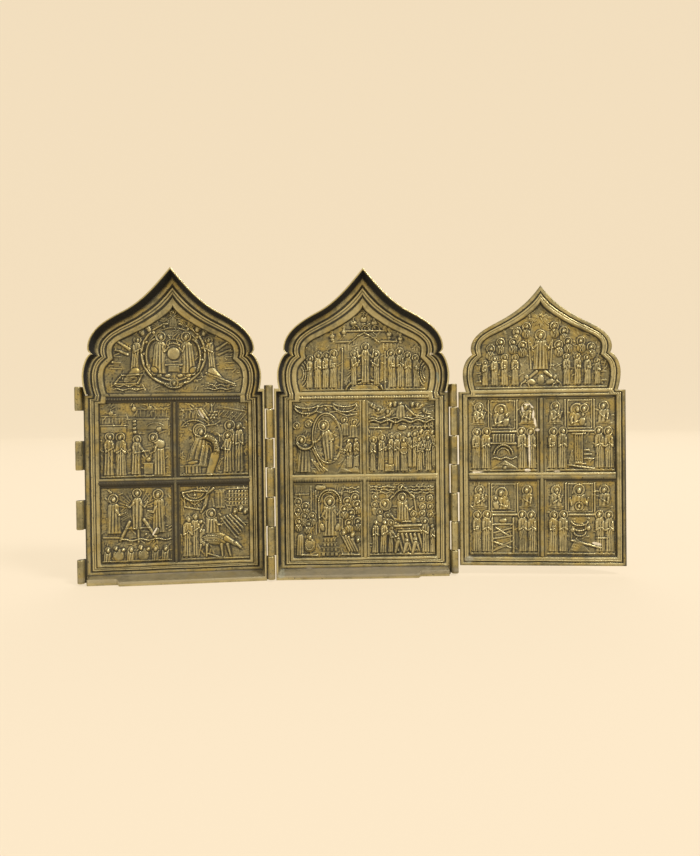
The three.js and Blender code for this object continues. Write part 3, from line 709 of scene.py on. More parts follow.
    def half_length(self, x, y, tall, facing=0, arms='pray'):
        """A saint down to the waist, cut off by the frame below."""
        k = tall / 12
        head_y = y + 9.2 * k
        self.oval(x, head_y, 3.0 * k, high=0.4, flat=14)
        self.ring(x, head_y, 2.6 * k, width=0.6, high=0.34, on_top=True)
        self.robe(x - 0.2 * facing, y, 7.4 * k, 3.7 * k, 3.5 * k, 3.0 * k, 0, 3, 0.85, 0.6)
        side = facing or 1
        self.arm(x - side * 2.2 * k, y + 4.6 * k, (side * 0.6 * k, -2.8 * k), (side * 4.4 * k, -0.2 * k))
        if arms == 'pray':
            self.arm(x + side * 1.6 * k, y + 4.8 * k, (side * 0.9 * k, -2.0 * k),
                     (side * 2.0 * k, 1.4 * k))
        self.head(x + 0.2 * facing * k, head_y, 1.6 * k, facing, 0, facing > 0, 1.0)

    def bust(self, x, y, wide, tall):
        """A cloaked breast and shoulders, lost among the figures below."""
        self.oval(x, y, wide, tall, 0.66)
        for side in (-1, 1):
            self.line([(x + side * 0.5 * wide, y + 0.7 * tall), (x + side * 0.1 * wide, y),
                       (x + side * 0.35 * wide, y - 0.8 * tall)], 0.3, 0.72)

    def mother(self, x, y, tall, facing=1):
        """A veiled half figure with a child held to one side."""
        k = tall / 12
        self.oval(x, y + 9.0 * k, 3.5 * k, high=0.4, flat=14)
        self.ring(x, y + 9.0 * k, 3.1 * k, width=0.65, high=0.34, on_top=True)
        self.robe(x, y, 7.6 * k, 5.4 * k, 4.7 * k, 3.4 * k, 0, 4, 0.85, 0.8)
        self.oval(x, y + 9.0 * k, 1.9 * k, 2.2 * k, high=0.85)
        self.oval(x + 2.9 * facing * k, y + 2.6 * k, 1.8 * k, 2.7 * k, high=1.0, turn=-12 * facing)
        self.ring(x + 3.4 * facing * k, y + 6.2 * k, 1.7 * k, width=0.5, high=0.4)
        self.head(x + 3.4 * facing * k, y + 6.2 * k, 1.0 * k, -facing, 0, False, 1.0)
        self.arm(x - 3.0 * facing * k, y + 4.4 * k, (0.2 * facing, -3.0 * k),
                 (4.2 * facing * k, -1.6 * k), 0.8)
        self.head(x + 0.3 * facing * k, y + 8.9 * k, 1.35 * k, facing, 0, False, 1.1)

    def wing(self, x, y, length, turn, plumes=4):
        for i in range(plumes):
            angle = math.radians(turn + 9 * (i - plumes / 2))
            reach = length * (1 - 0.12 * i)
            tip = x + reach * math.cos(angle), y + reach * math.sin(angle)
            self.bar(x, y, *tip, 0.5, 0.3, 0.4, False, 0.3)

    def hill(self, x0, x1, y, peak, lean=0.0, ledges=3, high=0.45):
        """A stepped rock, drawn as a slope with ledge strokes on its side."""
        mid = (x0 + x1) / 2 + lean
        rows = self.near(y - 1, y + peak + 1)
        t = (self.y[rows] - y) / peak
        left = x0 + (mid - x0) * t
        right = x1 + (mid - x1) * t
        outside = np.maximum(np.maximum(left - self.x[rows], self.x[rows] - right), -(self.y[rows] - y))
        self.press(rows, outside, high * np.clip(-outside / 0.8, 0, 1) ** 0.6, False)
        self.line([(x0, y), (mid, y + peak), (x1, y)], 0.32, 0.3)
        for i in range(ledges):
            share = (i + 1) / (ledges + 1)
            self.bar(x0 + (mid - x0) * share, y + peak * share, mid + (x1 - mid) * 0.35 * share,
                     y + peak * (share - 0.16), 0.28, high=0.25)

    def dome(self, x, y, r):
        """An onion dome on its drum, with a small cross."""
        self.block(x - 0.55 * r, y, x + 0.55 * r, y + 1.1 * r, 0.6, 0.3)
        self.oval(x, y + 1.8 * r, r, 0.95 * r, high=0.95)
        self.bar(x, y + 2.5 * r, x, y + 4.2 * r, 0.32, 0.2, 0.6, False)
        self.bar(x - 0.5 * r, y + 3.7 * r, x + 0.5 * r, y + 3.7 * r, 0.22, high=0.5, on_top=False)

    def rays(self, x, y, near, far, start, end, count, r=0.28, high=0.34):
        for angle in np.radians(np.linspace(start, end, count)):
            c, s = math.cos(angle), math.sin(angle)
            self.bar(x + near * c, y + near * s, x + far * c, y + far * s, r, r * 0.7, high, False, 0.3)

    def ticks(self, x0, x1, y0, y1, count, r=0.24, high=0.34, slant=0.0):
        """A row of short upright strokes."""
        for x in np.linspace(x0, x1, count):
            self.bar(x, y0, x + slant, y1, r, high=high, on_top=False, moat=0.3)

    def script(self, x0, x1, y, seed, tall=1.1):
        """Worn lettering, as a row of shallow strokes that spell nothing."""
        draw = np.random.default_rng(seed)
        x = x0
        while x < x1:
            slant = draw.uniform(-0.3, 0.3)
            self.bar(x, y, x + slant, y + tall * draw.uniform(0.7, 1), 0.16, high=0.2, moat=0.2)
            x += draw.uniform(0.6, 0.95)

    def wave(self, x0, x1, y, rise, period, r=0.32, high=0.45, tilt=0.0):
        xs = np.linspace(x0, x1, max(4, int((x1 - x0) / 0.9)))
        self.line([(x, y + tilt * (x - x0) + rise * math.sin(2 * math.pi * (x - x0) / period)) for x in xs],
                  r, high)

    def tooling(self, seed, low, high, left, right, count, reach=(1.2, 3.6)):
        """Short strokes cut at all angles, which fill the ground behind and between the figures."""
        draw = np.random.default_rng(seed)
        lean = draw.uniform(0, math.pi)
        for _ in range(count):
            x, y = draw.uniform(left, right), draw.uniform(low, high)
            if draw.random() < 0.2:
                lean = draw.uniform(0, math.pi)
            turn = lean + draw.normal(0, 0.35)
            size = draw.uniform(*reach)
            self.bar(x, y, x + size * math.cos(turn), y + size * math.sin(turn), draw.uniform(0.26, 0.5),
                     0.2, draw.uniform(0.25, 0.5), False, 0.3)

    def halos(self, places, r, facing=0, high=0.9):
        """Heads of a crowd that show behind one another."""
        for x, y in places:
            self.oval(x, y, r, high=0.42, flat=14)
            self.ring(x, y, r - 0.3, width=0.55, high=0.32, on_top=True)
            self.head(x, y - 0.1 * r, 0.52 * r, facing, 0, False, high)


def blurred(high, reach):
    """An even average over a square of ground, by running sums."""
    for axis in (0, 1):
        padded = np.pad(high, [(reach + 1, reach) if a == axis else (0, 0) for a in (0, 1)], "edge")
        total = np.cumsum(padded, axis)
        size = high.shape[axis]
        high = (np.take(total, range(2 * reach + 1, 2 * reach + 1 + size), axis)
                - np.take(total, range(size), axis)) / (2 * reach + 1)
    return high


SLAB_FOOT = 2.0                   # the slabs reach down into the plate behind them


def relief_piece(name, leaf, ground, u, v, seed):
    """A scene's slab: its raised top, and a plain underside sunk into the leaf."""
    x, y = ground.x + u, ground.y + v
    draw = np.random.default_rng(seed)
    sand = blurred(draw.normal(0, 0.06, x.shape), 1) + blurred(draw.normal(0, 0.22, x.shape), 3)
    high = 1.12 * (0.72 * ground.high + 0.28 * blurred(ground.high, 1)) + sand
    near, far = blurred(high, 2), blurred(high, 5)
    sunk = np.clip(2.7 * (near - high) + 0.8 * (far - high) + 0.30 - 0.26 * high, 0, 1)
    worn = np.clip(1.9 * (high - near) + 0.7 * (high - far) + 0.26 * high, 0, 1)

    top = np.column_stack([x.ravel(), y.ravel(), (GROUND + high).ravel()])
    at = np.arange(x.size).reshape(x.shape)
    quads = np.stack([at[:-1, :-1], at[:-1, 1:], at[1:, 1:], at[1:, :-1]], -1).reshape(-1, 4)
    rim = np.concatenate([at[0, :-1], at[:-1, -1], at[-1, :0:-1], at[:0:-1, 0]])
    foot = top[rim] * (1, 1, 0) + (0, 0, SLAB_FOOT)
    first = x.size + np.arange(len(rim))
    after = np.roll(first, -1)
    sides = np.column_stack([rim, first, after, np.roll(rim, -1)])
    centre = np.full(len(rim), x.size + len(rim))
    under = np.column_stack([after, first, centre])
    places = np.vstack([top, foot, foot.mean(0)])
    aged = np.zeros((len(places), 3))
    aged[: x.size, 0] = sunk.ravel()
    aged[: x.size, 1] = worn.ravel()
    faces = np.vstack([quads, sides]).tolist() + under.tolist()
    cast_piece(name, leaf, places, faces, aged, leaf_finish)


# Scenes of the left leaf. Sizes are from the lower left corner of each scene's sunk ground.
def bowing_at_an_altar(g):
    """Four haloed figures before a long wall, the last of them bowing over a draped altar."""
    g.block(15, 27, 37, 32.4, 0.3)
    g.line([(14.5, 32.8), (37.2, 32.6)], 0.4, 0.5)
    g.ticks(20, 36.2, 34.4, 37.4, 9)
    g.line([(19, 38.4), (37, 38.2)], 0.28)
    g.block(0.4, 25.4, 14, 28.6, 0.25)
    g.line([(0, 29.2), (15, 29.4)], 0.35, 0.45)
    g.ticks(1.5, 14.2, 30.6, 33.2, 8)
    g.line([(0.8, 34.4), (14.5, 34.6)], 0.25)
    for x, y in ((6, 36), (18.5, 38.4), (27, 38.8)):
        g.oval(x, y, 1.3, high=0.6)
        g.bar(x, y + 1, x, y + 2.4, 0.25)
    for y in (25.5, 27.6, 29.8, 31.6):
        g.oval(18.7, y, 1.15, 0.9, high=0.8)
    g.arc(30, 27.6, 5, 3, 20, 160)
    g.oval(32, 27, 1.5, high=0.7)
    g.block(23.6, 2, 28.6, 8, 0.5)
    g.line([(23.4, 8), (28.8, 8)], 0.35, 0.5)
    g.line([(24, 14.4), (26, 9), (28, 14)], 0.4, 0.4)
    g.oval(26.1, 10.2, 1.3, high=0.8)
    g.person(4.6, 1.2, 24.6, 1, 0.3, arms="pray")
    g.person(11, 0.8, 24.8, -1, 0.2, arms="fold", folds=4)
    g.person(19.2, 1.4, 22.6, 1, 0.5, arms="reach")
    g.robe(32, 1.4, 17.6, 3.4, 3.1, 2.9, -0.4, 4, 1.05, 0.6)
    g.bar(32.6, 18.6, 29.6, 21.2, 2.5, 1.5, 0.9, False)
    g.arm(30.6, 17.8, (-1.2, -3.2), (-3.6, -4.2))
    g.oval(28.8, 22.6, 2.6, high=0.4, flat=14)
    g.ring(28.8, 22.6, 2.3, width=0.6, high=0.32, on_top=True)
    g.head(28.6, 22.3, 1.35, -1)
    g.line([(0.5, 0.7), (37.5, 0.9)], 0.5, 0.4)


def bowing_over_a_crib(g):
    """A large robed figure bends over a crib, with a ray above it and attendants at the right."""
    g.line([(21.5, 39.6), (37, 36.6)], 0.3)
    for i in range(6):
        g.bar(22 + 2.4 * i, 34 - 0.5 * i, 25 + 2.4 * i, 37 - 0.4 * i, 0.24)
    g.line([(1, 37.4), (11, 38.4)], 0.3)
    g.ticks(2, 9.6, 33, 36, 5)
    g.bar(12, 38, 16.4, 31.6, 1.05, 0.5, 0.85, False)
    g.line([(13.4, 38.6), (17.6, 32.6)], 0.26, 0.4)
    for turn in range(0, 360, 60):
        c, s = math.cos(math.radians(turn)), math.sin(math.radians(turn))
        g.oval(18.6 + 1.7 * c, 34.6 + 1.7 * s, 1.15, 0.7, 0.75, turn)
    g.oval(18.6, 34.6, 0.9, high=0.95)
    g.bar(18.4, 36.4, 18, 40.4, 0.5, 0.3, 0.7, False)
    g.arc(8, 27.2, 6.4, 4.6, 25, 165, 0.4, 0.5)
    g.line([(14.2, 28.6), (20, 29.4), (22.4, 31)], 0.36, 0.45)
    g.robe(9.4, 5.6, 17.5, 6.2, 5.4, 3.4, 3.4, 4, 1.0, 0.8)
    g.arc(13.4, 15.4, 7.4, 7.6, -32, 96, 1.9, 0.85)
    g.bar(19.6, 11.6, 16.6, 1.8, 2.5, 2.0, 0.9, False)
    for x in (5, 8, 11, 14):
        g.bar(x, 6.4, x + 2.2, 17.5, 0.3, 0.25, 0.3)
    for i in range(4):
        g.arc(14.6, 14.6, 3 + 1.5 * i, 3.4 + 1.4 * i, -20, 80, 0.28, 0.28)
    g.oval(11.3, 26.2, 3.9, high=0.45, flat=14)
    g.ring(11.3, 26.2, 3.4, width=0.75, high=0.45, on_top=True)
    g.arc(11.5, 26, 2.4, 2.4, 150, 400, 0.32, 0.35)
    g.head(11.9, 25, 1.7, 1)
    g.block(3.2, 1.6, 11.6, 6.2, 0.75)
    g.line([(3.2, 6.2), (11.8, 6.4)], 0.4, 0.4)
    g.ticks(4.4, 10.6, 2.2, 5.4, 4)
    g.oval(7.4, 8, 3, 1.2, 0.8, 8)
    g.person(33.2, 2, 29.5, -1, 0.2, halo=False, arms="fold", wide=0.8)
    g.person(28, 2, 30, -1, 0.4, arms="pray", wide=0.8)
    g.person(26.8, 1.6, 24, -1, 0.2, arms="reach", wide=0.9)
    g.line([(0.5, 0.9), (37.5, 1.1)], 0.5, 0.4)


def rising_over_crossed_beams(g):
    """A figure stands in a fan of rays above crossed beams, over a row of crouching figures."""
    g.rays(19.5, 30, 5.6, 11, 10, 62, 6)
    g.rays(19.5, 30, 5.6, 11, 118, 170, 6)
    g.rays(19.5, 29, 5.4, 10.5, -34, 0, 5)
    g.rays(19.5, 29, 5.4, 10.5, 180, 214, 5)
    g.robe(6.8, 16.8, 17, 4.0, 3.4, 2.9, -0.2, 4, 1.0, 0.7)
    g.arm(8.4, 29.4, (1.6, -2.6), (4.8, -1.2))
    g.robe(31.2, 16.8, 19, 3.8, 3.1, 2.8, 0.3, 4, 1.0, -0.7)
    g.arm(29.6, 31, (-1.4, -3), (-4.4, -2))
    g.halos([(6.6, 36)], 2.8, 1, 1.05)
    g.halos([(31, 38)], 3.0, -1, 1.05)
    g.robe(19.6, 18.6, 17.6, 2.9, 3.0, 3.1, 0, 3, 1.1, 0.4)
    g.arm(17.4, 33.4, (-2, -2.4), (-3.8, -1))
    g.arm(21.6, 33.4, (2, -2.2), (3.6, 0.6))
    g.halos([(19.5, 39)], 2.6, 0, 1.15)
    g.bar(15.2, 22.8, 10.2, 12.6, 1.0, 0.8, 0.85, False)
    g.bar(23, 24, 30, 13.4, 1.0, 0.8, 0.85, False)
    g.bar(20, 18.6, 20, 11.6, 0.7, 0.5, 0.7, False)
    g.line([(13, 19.2), (26.4, 19.6)], 0.4, 0.45)
    g.oval(24, 15.8, 0.6, high=0.6)
    g.oval(30, 17.4, 1.5, 2.2, 0.8, -35)
    g.line([(1, 14.6), (10.4, 14.2), (12.4, 13)], 0.5, 0.5)
    g.wave(10, 37.5, 12.9, 0.45, 9, 0.42, 0.5)
    for x, r in ((3, 2.1), (15.5, 2.0), (29, 2.1), (34.5, 2.2)):
        g.robe(x, 1.2, 6, r, r, r * 0.9, 0.2, 3, 0.9, 0.8)
        g.head(x + 0.3, 7.4, 1.35, 1 if x < 19 else -1)
    for x in (9, 22.5):
        g.oval(x, 4.6, 3, 3.6, 0.85)
        g.arc(x, 4.4, 2.3, 2.9, 10, 170, 0.3, 0.3)
        g.head(x - 1.4, 8.2, 1.2, 1)
        g.oval(x + 2.6, 7.4, 1.1, high=0.9)
    g.line([(0.6, 1.1), (37.6, 1)], 0.45, 0.4)


def riding_to_a_city(g):
    """A haloed rider on a beast, a crowd at the left and a walled city at the right."""
    g.line([(1.4, 38.5), (8, 39.6), (15, 39)], 0.5, 0.6)
    g.arc(8.2, 38.8, 6.8, 5, 182, 358, 0.55, 0.65)
    g.arc(8.2, 38.4, 4.6, 3.2, 190, 350, 0.28, 0.35)
    g.oval(8, 37, 0.7, high=0.7)
    g.line([(8, 33.8), (8, 30.6)], 0.4, 0.5)
    g.line([(5.4, 33.6), (8, 31.6), (10.6, 33.4)], 0.4, 0.45)
    g.line([(2.2, 36.8), (2.6, 30.4), (12.4, 28.6), (14.6, 37.6)], 0.45, 0.5)
    g.line([(18.4, 40.6), (15.4, 38), (14, 31), (11.6, 27.6)], 0.75, 0.75)
    g.block(19.6, 29.4, 24.6, 39, 0.6)
    g.ticks(20.4, 23.8, 30.4, 37.8, 3)
    g.line([(19.4, 39.4), (24.8, 39.4)], 0.4, 0.4)
    for y in (31.6, 33.8, 36, 38.2):
        g.line([(26, y - 0.9), (37.4, y - 0.7)], 0.28, 0.35)
        for x in np.linspace(27.4, 36.4, 6):
            g.block(x - 0.5, y - 0.4, x + 0.5, y + 1.0, 0.5, 0.2)
    g.line([(25.8, 40.2), (37.4, 40.4)], 0.35, 0.4)
    for i in range(5):
        g.bar(22.5 + 1.7 * i, 23.6 + 0.6 * i, 31 + 1.3 * i, 12.4 + 1.7 * i, 0.55, 0.4, 0.55, False)
    for x, y in ((30.6, 27.2), (33.6, 28.6), (36.4, 27)):
        g.head(x, y, 1.35, -1)
    g.oval(12, 12.8, 4.4, 5.0, 0.95, 12)
    g.oval(19.4, 12.2, 7.2, 3.7, 0.9, -6)
    g.arc(17, 10.4, 7, 3.6, 20, 160, 0.3, 0.3)
    g.arc(16.4, 8.8, 6.4, 2.6, 20, 150, 0.3, 0.3)
    g.bar(25.2, 12, 30.8, 8.6, 1.7, 1.1, 0.85, False)
    g.bar(30.6, 9.4, 33.4, 6.6, 1.0, 0.7, 0.8, False)
    for x, lean in ((11, -1.6), (14.6, -0.4), (22.6, 0.6), (26, 1.6)):
        g.bar(x, 8.8, x + lean, 2.2, 0.95, 0.55, 0.8, False)
    g.line([(15, 3.8), (21, 1.6)], 0.45, 0.5)
    g.robe(17.6, 15.6, 9.6, 4.2, 3.4, 2.9, -0.5, 4, 1.1, 0.7)
    g.arm(19.4, 22.4, (1.8, -2.4), (4.2, -2))
    g.halos([(17, 26.5)], 2.9, 1, 1.15)
    g.person(7.6, 2.4, 25, 1, 0.3, halo=False, arms="pray", folds=4)
    g.person(3.8, 2, 24, 1, 0.3, halo=False, arms="fold", folds=4)
    g.oval(11.2, 21.8, 1.1, high=0.8)
    g.line([(0.6, 1), (37.6, 0.8)], 0.45, 0.4)


def throne_in_a_medallion(g):
    """A ringed medallion with two seated figures and an orb, amid clouds of winged figures."""
    g.ring(0, 127.3, 17.3, width=1.5, high=0.9)
    g.ring(0, 127.3, 14.8, width=0.9, high=0.6)
    for turn in range(-60, 250, 24):
        c, s = math.cos(math.radians(turn)), math.sin(math.radians(turn))
        g.oval(16.1 * c, 127.3 + 16.1 * s, 1.0, 0.8, 0.7, turn)
    for side in (-1, 1):
        g.arc(side * 9.6, 125.6, 5.2, 10, *((95, 265) if side < 0 else (-85, 85)), 0.7, 0.6)
        g.robe(side * 8.4, 116.4, 17.6, 4.2, 3.3, 3.1, -1.3 * side, 4, 1.05, 0.8 * side)
        g.arm(side * 5.8, 131.4, (-0.9 * side, -2.8), (-2.8 * side, -0.6))
        g.halos([(side * 7, 137)], 2.9, -side, 1.15)
        g.oval(side * 10.6, 118.4, 2.3, 1.6, 0.7, 40 * side)
        g.line([(side * 3, 138), (side * 1.4, 135.6), (side * 2.6, 133)], 0.3, 0.4)
        g.rays(side * 3, 146, 5.5, 12.5, *((176, 206) if side < 0 else (-26, 4)), 6)
        g.person(side * 21.4, 117, 20.5, -side, -1.4 * side, arms="pray", wide=0.95)
        g.bar(side * 21, 117.4, side * 26, 112.6, 2.5, 1.6, 0.9, False)
        g.bar(side * 24, 130, side * 30.6, 134.4, 0.9, 0.4, 0.6, False)
        g.bar(side * 25, 127, side * 31.6, 129.8, 0.8, 0.4, 0.6, False)
        for x, y in ((13.4, 141.2), (17, 139)):
            g.head(side * x, y, 1.5, -side)
        for i in range(4):
            g.line([(side * 28.4, 119 + 3.3 * i), (side * (34.6 - 0.8 * i), 119.4 + 3.3 * i)], 0.3, 0.4)
        g.wave(*((-34, -19) if side < 0 else (19, 34)), 109.6, 0.5, 5.5)
        g.wave(*((-33, -17) if side < 0 else (17, 33)), 107.6, 0.4, 7)
    g.oval(0, 127.6, 3.5, high=0.85, flat=5)
    g.arc(0, 127.8, 5, 5.6, 50, 130, 0.35, 0.45)
    g.arc(0, 128.6, 6.4, 7, 55, 125, 0.35, 0.45)
    g.bar(-4.4, 121.2, 4.4, 121.2, 0.6, high=0.6)
    g.block(-3, 117.4, 3, 120.8, 0.55)
    for x in (-8, -3.4, 3.4, 8):
        g.oval(x, 115.2, 1.5, 1.1, 0.7)
    g.oval(0, 110.8, 2.6, high=0.5, flat=8)
    g.head(0, 110.9, 1.3)
    g.arc(0, 113.6, 6.4, 5.4, 200, 340, 0.5, 0.5)
    g.ring(0, 146.6, 3.0, width=0.7, high=0.6)
    g.robe(0, 142.6, 7, 2.4, 2.0, 1.9, 0, 2, 0.9)
    g.wing(-1.6, 147.6, 6.6, 205)
    g.wing(1.6, 147.6, 6.6, -25)
    g.halos([(0, 151)], 1.9, 0, 1.0)
    # an open book low down on the left, and long folds of cloud low down on the right
    g.line([(-32.4, 110.6), (-28.4, 115.4), (-17.4, 115.8), (-19.8, 110.8), (-32.4, 110.6)], 0.5, 0.6)
    g.line([(-29.6, 112), (-21.6, 112.2)], 0.28)
    g.line([(-28, 113.8), (-20.6, 114)], 0.28)
    for i in range(4):
        g.bar(17.6 + 1.6 * i, 116.6 - 0.6 * i, 27 + 2.2 * i, 111.2 - 0.3 * i, 0.6, 0.4, 0.6, False)


# Scenes of the middle leaf
def standing_in_an_almond(g):
    """A tall figure inside an almond of light reaches down to one who kneels; others look on."""
    for x0, x1, y in ((1, 14.4, 37.4), (23, 36.6, 38.2)):
        mid = (x0 + x1) / 2
        g.arc(mid, y + 1.6, (x1 - x0) / 2, 4.2, 188, 352, 0.5, 0.6)
        g.arc(mid, y + 2.6, (x1 - x0) / 2, 2.2, 192, 348, 0.38, 0.45)
    g.line([(14, 38.6), (18, 39.4), (23.4, 38.8)], 0.42, 0.5)
    g.oval(18.6, 37.4, 0.8, high=0.75)
    g.line([(8.4, 33.8), (13.4, 36), (17, 35)], 0.4, 0.5)
    g.line([(21, 35.4), (25, 36), (30.4, 33.4), (36.4, 34.4)], 0.4, 0.5)
    g.halos([(1.9, 28), (8.7, 29)], 2.1, 1)
    g.halos([(29.4, 31), (35, 29.6)], 2.0, -1)
    g.robe(34.4, 21, 7, 3.2, 2.9, 2.4, 0, 3, 0.85)
    g.robe(29.6, 22, 7, 2.6, 2.4, 2.2, 0, 3, 0.85)
    g.hill(0.4, 12.4, 0.8, 11, -2, 4)
    g.hill(25.6, 37.6, 0.8, 12.4, 1, 4)
    for i in range(4):
        g.bar(10.4 + 1.6 * i, 8.4 - i, 15 + 1.5 * i, 1.8, 0.5, 0.35, 0.5, False)
    g.ring(19.4, 20.7, 8.3, 14.2, 1.0, 0.95, 4)
    g.ring(19.8, 20.6, 7.4, 13.2, 0.5, 0.5, 4)
    g.robe(20.6, 7.6, 17.8, 2.7, 3.3, 3.1, -1.8, 3, 1.15, 0.5)
    g.oval(24, 8.6, 1.3, 0.8, 0.7)
    g.oval(21, 7.6, 1.3, 0.8, 0.7)
    g.arm(16.8, 22.8, (-2.2, -3), (-5.4, -5.4))
    g.arm(21.6, 23.4, (1.3, -3.6), (-1.2, -5.6))
    g.halos([(17.5, 28)], 3.3, -1, 1.25)
    g.line([(11, 14.6), (16, 4.4)], 0.5, 0.65)
    g.line([(12.4, 14.8), (17, 5.4)], 0.35, 0.5)
    g.robe(5.6, 1.4, 16, 4.6, 3.8, 2.8, 0.2, 4, 1.0, 0.8)
    g.arc(6.9, 19, 4.7, 4.4, 182, 352, 0.85, 0.9)
    g.halos([(4.5, 19.8)], 2.8, 1, 1.1)
    g.person(32, 3.4, 17.4, -1, -0.2, halo=False, arms="reach", wide=0.9)
    g.person(36, 4, 17.4, -1, 0, halo=False, arms="fold", wide=0.8)
    g.arm(31, 13.6, (-2, -1.4), (-4.6, -0.6))
    g.rays(33, 9.6, 1.4, 4, 20, 160, 4)


def ascending_above_a_crowd(g):
    """A wavy bank of cloud with winged figures over it, and a close crowd standing below."""
    for x, y in ((12.7, 39.2), (15.5, 39.6), (18.6, 39.4), (25.4, 39.2)):
        g.head(x, y, 1.2)
    g.robe(18.8, 31.6, 7.4, 3.2, 2.8, 2.2, 0, 3, 0.9)
    for x, y, turn in ((3.6, 38.4, -24), (7.4, 35.6, 18), (30, 38, 20), (33.6, 35, -16), (12.8, 34.4, 40)):
        g.oval(x, y, 3.0, 1.15, 0.8, turn)
        g.head(x - 1.6, y + 0.9, 1.0)
        g.wing(x + 1, y, 3.6, turn + 20, 3)
    g.line([(21.6, 38.4), (26.4, 33.4), (31.6, 32.4)], 0.5, 0.55)
    g.wave(0.6, 37.6, 30, 0.7, 8.6, 0.55, 0.75)
    g.wave(1, 37, 31.6, 0.4, 6.4, 0.32, 0.45)
    g.line([(1, 26.4), (12.8, 26.2), (13.4, 28.6)], 0.55, 0.65)
    g.block(1, 27.2, 6.4, 29, 0.4)
    g.oval(19.5, 26.2, 2.7, 1.5, 0.75)
    g.ring(19.5, 26.2, 2.1, 1.0, 0.4, 0.3, on_top=True)
    for i in range(6):
        x = 25 + 2.2 * i
        g.arc(x, 25, 1.4, 2, 20, 160, 0.4, 0.5)
    for i, (x, top) in enumerate(((27, 21.5), (30.6, 22.8), (34, 21.4), (37, 22.4), (13, 20), (23.4, 20.8))):
        g.person(x, 3.4, top, -1 if x > 19 else 1, 0, halo=i % 2 == 0, arms="fold", wide=0.68, folds=3)
    g.person(2.6, 1.2, 20.4, 1, 0, arms="fold", wide=0.72)
    g.person(7.2, 1.4, 21.4, 1, 0.4, arms="pray", wide=0.8)
    g.person(16.2, 1.2, 22.4, 1, 0.2, arms="fold", wide=0.72)
    g.person(29.4, 1.2, 20.6, -1, 0.2, arms="fold", wide=0.72)
    g.person(34.6, 1.2, 21.4, -1, 0, arms="reach", wide=0.74)
    g.person(20.4, 0.8, 20.4, 0, 0, arms="none", wide=0.95, folds=4, high=1.15)
    g.ring(20.3, 13, 1.8, width=0.7, high=0.5, on_top=True)
    g.block(9.4, 1, 14.8, 5.2, 0.7)
    g.ring(12.1, 3.1, 1.3, width=0.45, high=0.35, on_top=True)


def enthroned_before_saints(g):
    """A figure enthroned under an arched canopy above chequered steps, with ranks of saints."""
    g.ticks(1.6, 7, 37, 40.6, 3)
    g.line([(0.8, 36), (8.4, 36.2)], 0.35, 0.45)
    g.wave(28, 37.4, 39.4, 0.5, 4)
    g.wave(28.6, 37.2, 37.2, 0.4, 5)
    for side in (-1, 1):
        mid = 20.3 + 4.9 * side
        g.bar(mid - 1.8, 38 - side * 1.9, mid + 1.8, 38 + side * -1.9 + side * 0.2, 1.5, 1.2, 0.8, False)
        for i in range(4):
            x = mid - 1.6 + 1.1 * i
            g.bar(x, 36.9 - side * (x - mid) * 0.9, x + 0.3, 39.3 - side * (x - mid) * 0.9, 0.22, high=0.25)
    g.line([(9.8, 40.6), (9.8, 13)], 0.35, 0.55)
    g.line([(12.6, 38), (12.6, 13)], 0.35, 0.55)
    g.line([(27.2, 36), (27.6, 14)], 0.35, 0.5)
    g.arc(20.3, 32, 6.2, 6.6, -6, 186, 0.6, 0.75)
    g.arc(20.3, 32, 4.9, 5.2, -4, 184, 0.32, 0.4)
    g.line([(14.2, 31), (14.4, 14)], 0.45, 0.6)
    g.line([(26.4, 31), (26, 15)], 0.45, 0.6)
    g.robe(20.4, 12.2, 18.4, 4.3, 3.7, 3.4, 0, 4, 1.15, 0.5)
    g.arm(17.6, 26.6, (-1.6, -3.2), (0.6, -5.4))
    g.arm(23, 26.6, (1.8, -2.4), (3.8, 0.6))
    g.line([(19.4, 13), (20, 22)], 0.35, 0.3)
    g.halos([(20.3, 32)], 3.3, 0, 1.25)
    g.oval(16, 17, 1.4, 2.4, 0.8, 20)
    g.oval(24.8, 17, 1.4, 2.4, 0.8, -20)
    for x, y in ((2.4, 32), (6.7, 29.4), (2.1, 27), (5.9, 23.6), (10.4, 23.6), (2.6, 20.4), (8, 19)):
        g.halos([(x, y)], 2.3, 1, 1.0)
        g.bust(x - 0.2, y - 3.4, 2.4, 2.4)
    for x, y in ((30.5, 32), (35, 34), (36.2, 30), (32.7, 25.2), (31.3, 19.4), (36.4, 20.2), (28.8, 27.4)):
        g.halos([(x, y)], 2.4, -1, 1.0)
        g.bust(x + 0.2, y - 3.4, 2.4, 2.4)
    for i, half in enumerate((3.5, 4.0, 4.5, 5.0)):
        y = 9.6 - 2.7 * i
        g.line([(20.3 - half, y + 1.2), (20.3 + half, y + 1.2)], 0.34, 0.55)
        for k in range(4):
            left, right = (20.3 - half + (2 * k + edge) * half / 4 for edge in (0.3, 1.7))
            g.block(left, y - 1, right, y + 0.8, 0.5, 0.25)
    g.oval(8.6, 7, 3.4, 4.2, 0.95)
    g.arc(8.6, 7.4, 2.3, 3.2, 20, 340, 0.35, 0.35)
    g.head(8.6, 11.4, 1.4, 1)
    g.robe(3.2, 1.2, 12, 2.4, 2.1, 1.9, 0.3, 3, 0.9)
    g.line([(4, 1.4), (13, 0.9)], 0.5, 0.5)
    for i in range(4):
        g.bar(27 + 2 * i, 13.4 - 1.2 * i, 31.6 + 1.5 * i, 3.2, 0.85, 0.5, 0.7, False)
    for x, y in ((28.4, 13.6), (33.4, 12.4), (36.6, 9.4)):
        g.head(x, y, 1.35, -1)
    g.line([(27, 1.2), (37.4, 1)], 0.5, 0.5)


